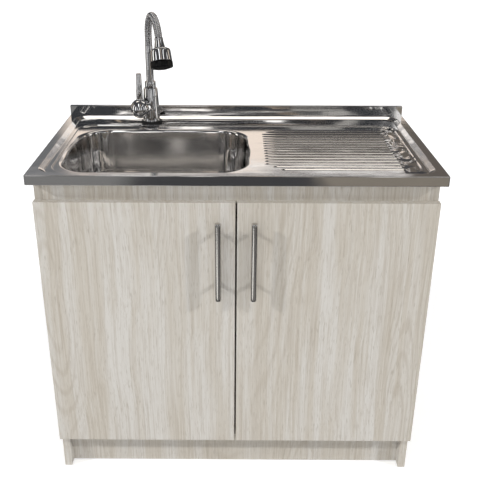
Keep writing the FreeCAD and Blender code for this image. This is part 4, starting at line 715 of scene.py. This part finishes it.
def makeSpout():
    form = tapForm
    bore, foot, crown = form["bore"], form["height"], form["collarTop"]
    collar = [(bore, foot), (form["collar"], foot), (form["collar"], crown - 1),
              (form["collar"] - 1.2, crown), (bore, crown)]
    finishPiece("neckNut", spun(scaled(collar), 64, 0.4 * mm, 3, 25, onTap()), paint["chrome"],
                "cabinet", ["neck_collar"])
    foot, crown = form["neckFoot"], form["neckTop"]
    neck = [(8, foot), (form["neck"], foot), (form["neck"], crown - 0.6), (form["neck"] - 0.5, crown),
            (8, crown)]
    finishPiece("neckPipe", spun(scaled(neck), 64, 0.0, 3, 25, spoutTurn()), paint["chrome"], "spout",
                ["neck_tube"])
    ferrule = [(8.35, crown), (9.1, crown), (9.5, crown + 0.5), (9.5, crown + 17), (9.2, crown + 18),
               (8.35, crown + 18)]
    finishPiece("hoseFerrule", spun(scaled(ferrule), 64, 0.0, 3, 25, spoutTurn()), paint["chrome"],
                "spout", ["hose_ferrule"])
    # the hose: rings pulled along the bend, four or more to a rib
    pitch = (fallEnd() - form["lead"]) / form["ribs"]
    steps = [(0.0, 0.0), (0.08, 0.5), (0.2, 0.88), (0.36, 1.0), (0.52, 1.0), (0.68, 0.88), (0.8, 0.5),
             (0.88, 0.0)]
    runs = [(2.0, form["ribFoot"])]
    for rib in range(form["ribs"]):
        for share, swell in steps:
            radius = form["ribFoot"] + (form["ribTop"] - form["ribFoot"]) * swell
            runs.append((form["lead"] + (rib + share) * pitch, radius))
    runs += [(fallEnd(), form["ribFoot"]), (fallEnd() + form["lead"] - 1, form["ribFoot"])]
    bm = bmesh.new()
    first = bmesh.ops.create_circle(bm, cap_ends=False, radius=1, segments=36,
                                    matrix=ringAt(*runs[0]))["verts"]
    edges = list({edge for vert in first for edge in vert.link_edges})
    before = ringAt(*runs[0])
    for run, radius in runs[1:]:
        grown = bmesh.ops.extrude_edge_only(bm, edges=edges)["geom"]
        verts = [item for item in grown if isinstance(item, bmesh.types.BMVert)]
        edges = [item for item in grown if isinstance(item, bmesh.types.BMEdge)]
        after = ringAt(run, radius)
        bmesh.ops.transform(bm, matrix=after @ before.inverted(), verts=verts)
        before = after
    bmesh.ops.recalc_face_normals(bm, faces=bm.faces)
    finishPiece("ribbedHose", bm, paint["chrome"], "spout", ["neck_hose"], 60)


def headPlace():
    # the spray head's own frame: origin in the middle of its outlet, Z back up to the hose
    spot, _ = hoseFrame(fallEnd())
    tilt = math.radians(tapForm["tilt"])
    down = Vector((0, -math.sin(tilt), -math.cos(tilt))) * tapForm["head"]
    lean = Matrix.Rotation(-tilt, 4, "X")
    place = spoutTurn() @ Matrix.Translation((spot + down + Vector((0, 0, tapForm["neckTop"]))) * mm)
    return place @ lean


headForm = dict(rim=15, bell=26.4, shoulder=24.5, neck=13.4, neckHeight=47.6, mouth=9.9,
                proud=3, nose=15, lobes=12, bite=0.9)


def makeHead():
    form, place = headForm, headPlace()
    top = tapForm["head"]
    outline = [(8.4, 58), (8.4, top), (form["mouth"], top), (10.3, top - 0.8), (10.4, top - 4.6),
               (10.0, top - 5.3),
               (form["neck"] - 0.5, form["neckHeight"] + 1.6), (form["neck"], form["neckHeight"]),
               (15.4, 46.9), (19.0, 46.0), (21.6, 44.9), (23.3, 43.4), (form["shoulder"], 41.0),
               (24.9, 38.0), (25.5, 30.0), (26.0, 22.0), (form["bell"], form["rim"] + 1.6),
               (26.0, form["rim"] + 0.8), (21.7, form["rim"] + 0.8), (21.7, 18), (5, 18), (5, 36),
               (8.4, 36)]
    finishPiece("sprayBell", spun(scaled(outline), 72, 0.0, 2, 25, place), paint["chrome"],
                "spout", ["spray_bell"], 28)
    high = form["rim"] - 0.3
    rim = [(22.0, 0.4), (25.6, 0.0), (26.7, 0.9), (27.1, 3.0), (27.1, high - 3.4), (26.6, high - 2.4),
           (27.1, high - 1.4), (26.4, high), (22.0, high)]
    bm = spun(scaled(rim), 144, 0.0, 2, 25)
    for vert in bm.verts:
        reach = math.hypot(vert.co.x, vert.co.y)
        if reach > 25 * mm and vert.co.z < (high - 3) * mm:
            turn = math.atan2(vert.co.y, vert.co.x)
            dip = max(0.0, math.cos(form["lobes"] * turn))**3
            shrink = 1 - form["bite"] * mm * dip / reach
            vert.co.x *= shrink
            vert.co.y *= shrink
    bmesh.ops.transform(bm, matrix=place, verts=bm.verts)
    finishPiece("sprayRim", bm, paint["blackPlastic"], "spray_selector", ["spray_rim"], 35)
    low, nose = -form["proud"], form["nose"]
    plate = [(0, low + 0.4), (3.0, low + 0.4), (3.4, low + 1.1), (8.5, low + 1.1), (9.2, low + 0.3),
             (nose, low + 0.5), (18.6, low + 1.5), (20.8, low + 2.9), (21.9, 0.6), (21.9, 4), (0, 4)]
    bm = spun(scaled(plate), 72, 0.0, 2, 25)
    for ring, count in ((5.8, 8), (11.8, 14)):
        for jet in range(count):
            turn = 2 * math.pi * jet / count
            at = Matrix.Translation(Vector((ring * math.cos(turn), ring * math.sin(turn), low + 0.9)) * mm)
            bmesh.ops.create_cone(bm, cap_ends=True, segments=10, radius1=0.55 * mm, radius2=0.9 * mm,
                                  depth=1.6 * mm, matrix=at)
    bmesh.ops.transform(bm, matrix=place, verts=bm.verts)
    finishPiece("sprayFace", bm, paint["rubber"], "spray_selector", ["spray_face"], 35)


makeTapBody()
makeLever()
makeSpout()
makeHead()
print("tap made")


handleForm = dict(radius=7, cap=8, reach=28, offset=39.5, top=707, length=188, door=-228.5,
                  round=1.2)


def makeHandles():
    form = handleForm
    for side, sign in (("left", -1), ("right", 1)):
        body = side + "_door"
        foot = (sign * form["offset"], form["door"] - form["reach"], form["top"] - form["length"])
        stand = Matrix.Translation(Vector(foot) * mm)
        radius, length, soft = form["radius"], form["length"], form["round"]
        start = form["cap"]
        bar = [(0, start), (radius, start), (radius, length - start), (0, length - start)]
        finishPiece("handleBar_" + side, spun(scaled(bar), 48, 0, 3, 25, stand), paint["handle"], body,
                    ["handle_bar_" + side])
        ends = [[(0, 0), (radius - soft, 0), (radius - soft * 0.3, soft * 0.3), (radius, soft),
                 (radius, start), (0, start)],
                [(0, length - start), (radius, length - start), (radius, length - soft),
                 (radius - soft * 0.3, length - soft * 0.3), (radius - soft, length), (0, length)]]
        both = bmesh.new()
        for outline in ends:
            part = spun(scaled(outline), 48, 0, 3, 25, stand)
            held = bpy.data.meshes.new("capPart")
            part.to_mesh(held)
            part.free()
            both.from_mesh(held)
            bpy.data.meshes.remove(held)
        finishPiece("handleEnds_" + side, both, paint["handle"], body,
                    ["handle_caps_" + side], 50)


makeHandles()

finishes = dict(
    doorLeft=["door_left"], doorRight=["door_right"], sides=["side_panel_left", "side_panel_right"],
    rail=["front_rail"], toe=["toe_kick"], inside=["bottom_panel", "rear_rail"],
    backBoard=["back_panel"], drain=["drain_body", "strainer_basket"],
    handle=["handle_posts_left", "handle_posts_right"], capPlastic=["carcass_screws"],
    hardware=["sink_clips", "clip_screws", "hinge_cups_left", "hinge_cups_right", "hinge_pins_left",
              "hinge_pins_right", "hinge_arms", "hinge_plates", "plate_screws", "handle_screws_left",
              "handle_screws_right"],
    rubber=["tap_gasket", "tap_washer", "drain_gasket", "seal_strips"],
    brass=["tap_shank", "tap_nut", "inlet_tails", "cartridge_carrier", "lever_pin", "lever_spindle"],
    whitePlastic=["drain_nut", "tailpiece", "tailpiece_nut", "cartridge", "door_bumpers_left",
                  "door_bumpers_right"],
    greyPlastic=["floor_glides"],
)
for name, members in finishes.items():
    for member in members:
        nodes[member].data.materials.clear()
        nodes[member].data.materials.append(paint[name])
boardPieces = ["door_left", "door_right", "side_panel_left", "side_panel_right", "front_rail", "toe_kick",
               "bottom_panel"]
for name in boardPieces:
    joined = nodes[name].modifiers.new("joinCorners", "WELD")
    joined.merge_threshold = 0.00001
    eased = nodes[name].modifiers.new("easedEdges", "BEVEL")
    eased.width = 0.0007
    eased.segments = 2
    eased.limit_method = "ANGLE"
    eased.angle_limit = math.radians(60)
    eased.harden_normals = False
print("finishes set")

# each sun as (degrees round from the front, degrees up, degrees wide, power)
studio = dict(ambient=0.45, floorColour=0.88, floorLift=0.40, floorReach=30,
              suns=dict(softFront=(-15, 14, 50, 0.52), rightSpot=(64, 31, 3, 1.35),
                        leftSpot=(-64, 31, 3, 1.35)))

# what the polished steel mirrors: boards round the studio, each with its plain tone and its patches
# as (from, to, softness, tone); X and Y run over the floor and ceiling, X or Y and Z over the walls
boards = dict(
    floor=dict(axes="XY", at=0.012, span=(-4, -5, 4, 3.2), tone=(0.070, 0.070, 0.075), patches=[
        ((-4, -5), (-0.73, -1.9), 0.10, (0.26, 0.26, 0.26)),
        ((0.58, -5), (4, -1.9), 0.10, (0.300, 0.270, 0.230)),
        ((-1.15, -1.62), (-0.25, -0.85), 0.06, (1.50, 1.47, 1.42)),
        ((0.05, -1.75), (0.90, -0.70), 0.10, (0.28, 0.27, 0.26)),
        ((-4, -0.2), (4, 3.2), 0.20, (0.12, 0.12, 0.12))]),
    frontWall=dict(axes="XZ", at=-4.5, span=(-4, 0, 4, 4.5), tone=(0.07, 0.075, 0.085), patches=[
        ((-4, 0), (4, 1.25), 0.15, (0.20, 0.20, 0.20)),
        ((-0.52, 0.3), (-0.26, 3.6), 0.09, (2.6, 2.55, 2.5)),
        ((0.55, 0.0), (0.95, 3.0), 0.05, (0.65, 0.64, 0.62)),
        ((1.5, 0.2), (1.9, 3.2), 0.05, (1.7, 1.7, 1.7)),
        ((-2.5, 0.2), (-2.2, 3.2), 0.05, (1.5, 1.5, 1.55))]),
    leftWall=dict(axes="YZ", at=-3.0, span=(-4.5, 0, 3.2, 4.5), tone=(0.08, 0.078, 0.075), patches=[
        ((-3.6, 0.0), (-3.2, 2.8), 0.05, (0.7, 0.7, 0.7)),
        ((-2.3, 0.0), (-1.7, 2.8), 0.05, (1.9, 1.9, 1.95)),
        ((-0.3, 0.0), (0.15, 2.6), 0.05, (2.2, 2.15, 2.05)),
        ((1.5, 0.4), (1.9, 2.4), 0.05, (1.4, 1.2, 1.0))]),
    rightWall=dict(axes="YZ", at=3.0, span=(-4.5, 0, 3.2, 4.5), tone=(0.08, 0.078, 0.075), patches=[
        ((-3.4, 0.0), (-3.1, 2.8), 0.05, (0.8, 0.8, 0.8)),
        ((-2.2, 0.0), (-1.8, 2.8), 0.05, (1.9, 1.9, 1.95)),
        ((-0.6, 0.0), (-0.05, 2.6), 0.05, (1.9, 1.85, 1.8)),
        ((1.2, 0.4), (1.7, 2.4), 0.05, (1.4, 1.2, 1.0))]),
    backWall=dict(axes="XZ", at=3.2, span=(-3, 0, 3, 4.5), tone=(0.09, 0.09, 0.095), patches=[
        ((-3, 1.42), (3, 2.15), 0.05, (1.15, 1.00, 0.88)),
        ((-3, 1.40), (-1.16, 2.3), 0.10, (0.20, 0.205, 0.215)),
        ((0.25, 1.60), (1.60, 1.93), 0.05, (0.14, 0.125, 0.105)),
        ((-0.95, 1.93), (3, 1.975), 0.02, (1.5, 1.5, 1.5)),
        ((-3, 1.985), (3, 2.10), 0.02, (0.32, 0.32, 0.33)),
        ((1.22, 1.40), (3, 2.3), 0.06, (0.16, 0.14, 0.125))]),
    ceiling=dict(axes="XY", at=3.0, span=(-3, -4.5, 3, 3.2), tone=(0.075, 0.075, 0.08), patches=[
        ((-1.6, 0.72), (1.6, 1.25), 0.05, (2.4, 2.25, 2.05)),
        ((-0.95, -3.6), (-0.55, -0.6), 0.04, (2.4, 2.4, 2.4)),
        ((0.10, -3.4), (0.32, -1.0), 0.05, (0.9, 0.75, 0.6)),
        ((1.30, -3.4), (1.60, -0.6), 0.04, (1.9, 1.9, 1.9))]),
)


def addSun(name, azimuth, height, angle, power):
    data = bpy.data.lights.new(name, "SUN")
    data.energy = power
    data.angle = math.radians(angle)
    sun = bpy.data.objects.new(name, data)
    side, up = math.radians(azimuth), math.radians(height)
    toLight = Vector((math.sin(side) * math.cos(up), -math.cos(side) * math.cos(up), math.sin(up)))
    sun.rotation_euler = toLight.to_track_quat("Z", "Y").to_euler()
    sun.visible_glossy = False
    bpy.context.scene.collection.objects.link(sun)


def stagePlane(name, axes, at, span, material):
    bm = bmesh.new()
    bmesh.ops.create_grid(bm, x_segments=1, y_segments=1, size=0.5)
    for vert in bm.verts:
        first = span[0] + (vert.co.x + 0.5) * (span[2] - span[0])
        second = span[1] + (vert.co.y + 0.5) * (span[3] - span[1])
        place = dict(zip(axes, (first, second)))
        vert.co = [place.get(axis, at) for axis in "XYZ"]
    mesh = bpy.data.meshes.new(name)
    bm.to_mesh(mesh)
    bm.free()
    mesh.materials.append(material)
    plane = bpy.data.objects.new(name, mesh)
    bpy.context.scene.collection.objects.link(plane)
    return plane


anyPlace = 50


def boardMaterial(name, axes, tone, patches):
    made = bpy.data.materials.new(name)
    made.use_nodes = True
    tree = made.node_tree
    shader = tree.nodes["Principled BSDF"]
    shader.inputs["Base Color"].default_value = (0, 0, 0, 1)
    shader.inputs["Specular IOR Level"].default_value = 0
    spot = tree.nodes.new("ShaderNodeTexCoord").outputs["Object"]
    colour = tone
    for start, end, soft, patchTone in patches:
        low, high = dict(zip(axes, start)), dict(zip(axes, end))
        mask = patchMask(tree, spot, [low.get(axis, -anyPlace) for axis in "XYZ"],
                         [high.get(axis, anyPlace) for axis in "XYZ"], soft)
        colour = mixColours(tree, mask, colour, patchTone)
    tree.links.new(colour, shader.inputs["Emission Color"])
    shader.inputs["Emission Strength"].default_value = 1
    return made


def seenShare(tree):
    # one for what the eye or a mirror sees, nought for what only lights the room
    path = tree.nodes.new("ShaderNodeLightPath")
    seen = mathNode(tree, "MAXIMUM", path.outputs["Is Camera Ray"], path.outputs["Is Glossy Ray"])
    return mathNode(tree, "MAXIMUM", seen, path.outputs["Is Transmission Ray"])


def makeStudio():
    tone = studio["floorColour"]
    made = bpy.data.materials.new("paleFloor")
    made.use_nodes = True
    tree = made.node_tree
    shader = tree.nodes["Principled BSDF"]
    shader.inputs["Base Color"].default_value = (tone, tone, tone, 1)
    shader.inputs["Roughness"].default_value = 0.9
    shader.inputs["Specular IOR Level"].default_value = 0.1
    shader.inputs["Emission Color"].default_value = (1, 1, 1, 1)
    lift = mathNode(tree, "MULTIPLY", seenShare(tree), studio["floorLift"])
    tree.links.new(lift, shader.inputs["Emission Strength"])
    far = studio["floorReach"]
    stagePlane("studioFloor", "XY", 0, (-far, -far, far, far), made)
    world = bpy.data.worlds.new("studioWorld")
    world.use_nodes = True
    bpy.context.scene.world = world
    tree = world.node_tree
    back = tree.nodes["Background"]
    back.inputs["Color"].default_value = (1, 1, 1, 1)
    tree.links.new(spread(tree, seenShare(tree), 0, 1, (studio["ambient"], 1.0)), back.inputs["Strength"])
    for name, values in studio["suns"].items():
        addSun(name, *values)
    for name, board in boards.items():
        material = boardMaterial(name + "Board", board["axes"], board["tone"], board["patches"])
        plane = stagePlane(name + "Board", board["axes"], board["at"], board["span"], material)
        plane.visible_camera = False
        plane.visible_diffuse = False
        plane.visible_transmission = False
        plane.visible_volume_scatter = False
        plane.visible_shadow = False


makeStudio()
bpy.context.scene.view_settings.view_transform = "Standard"
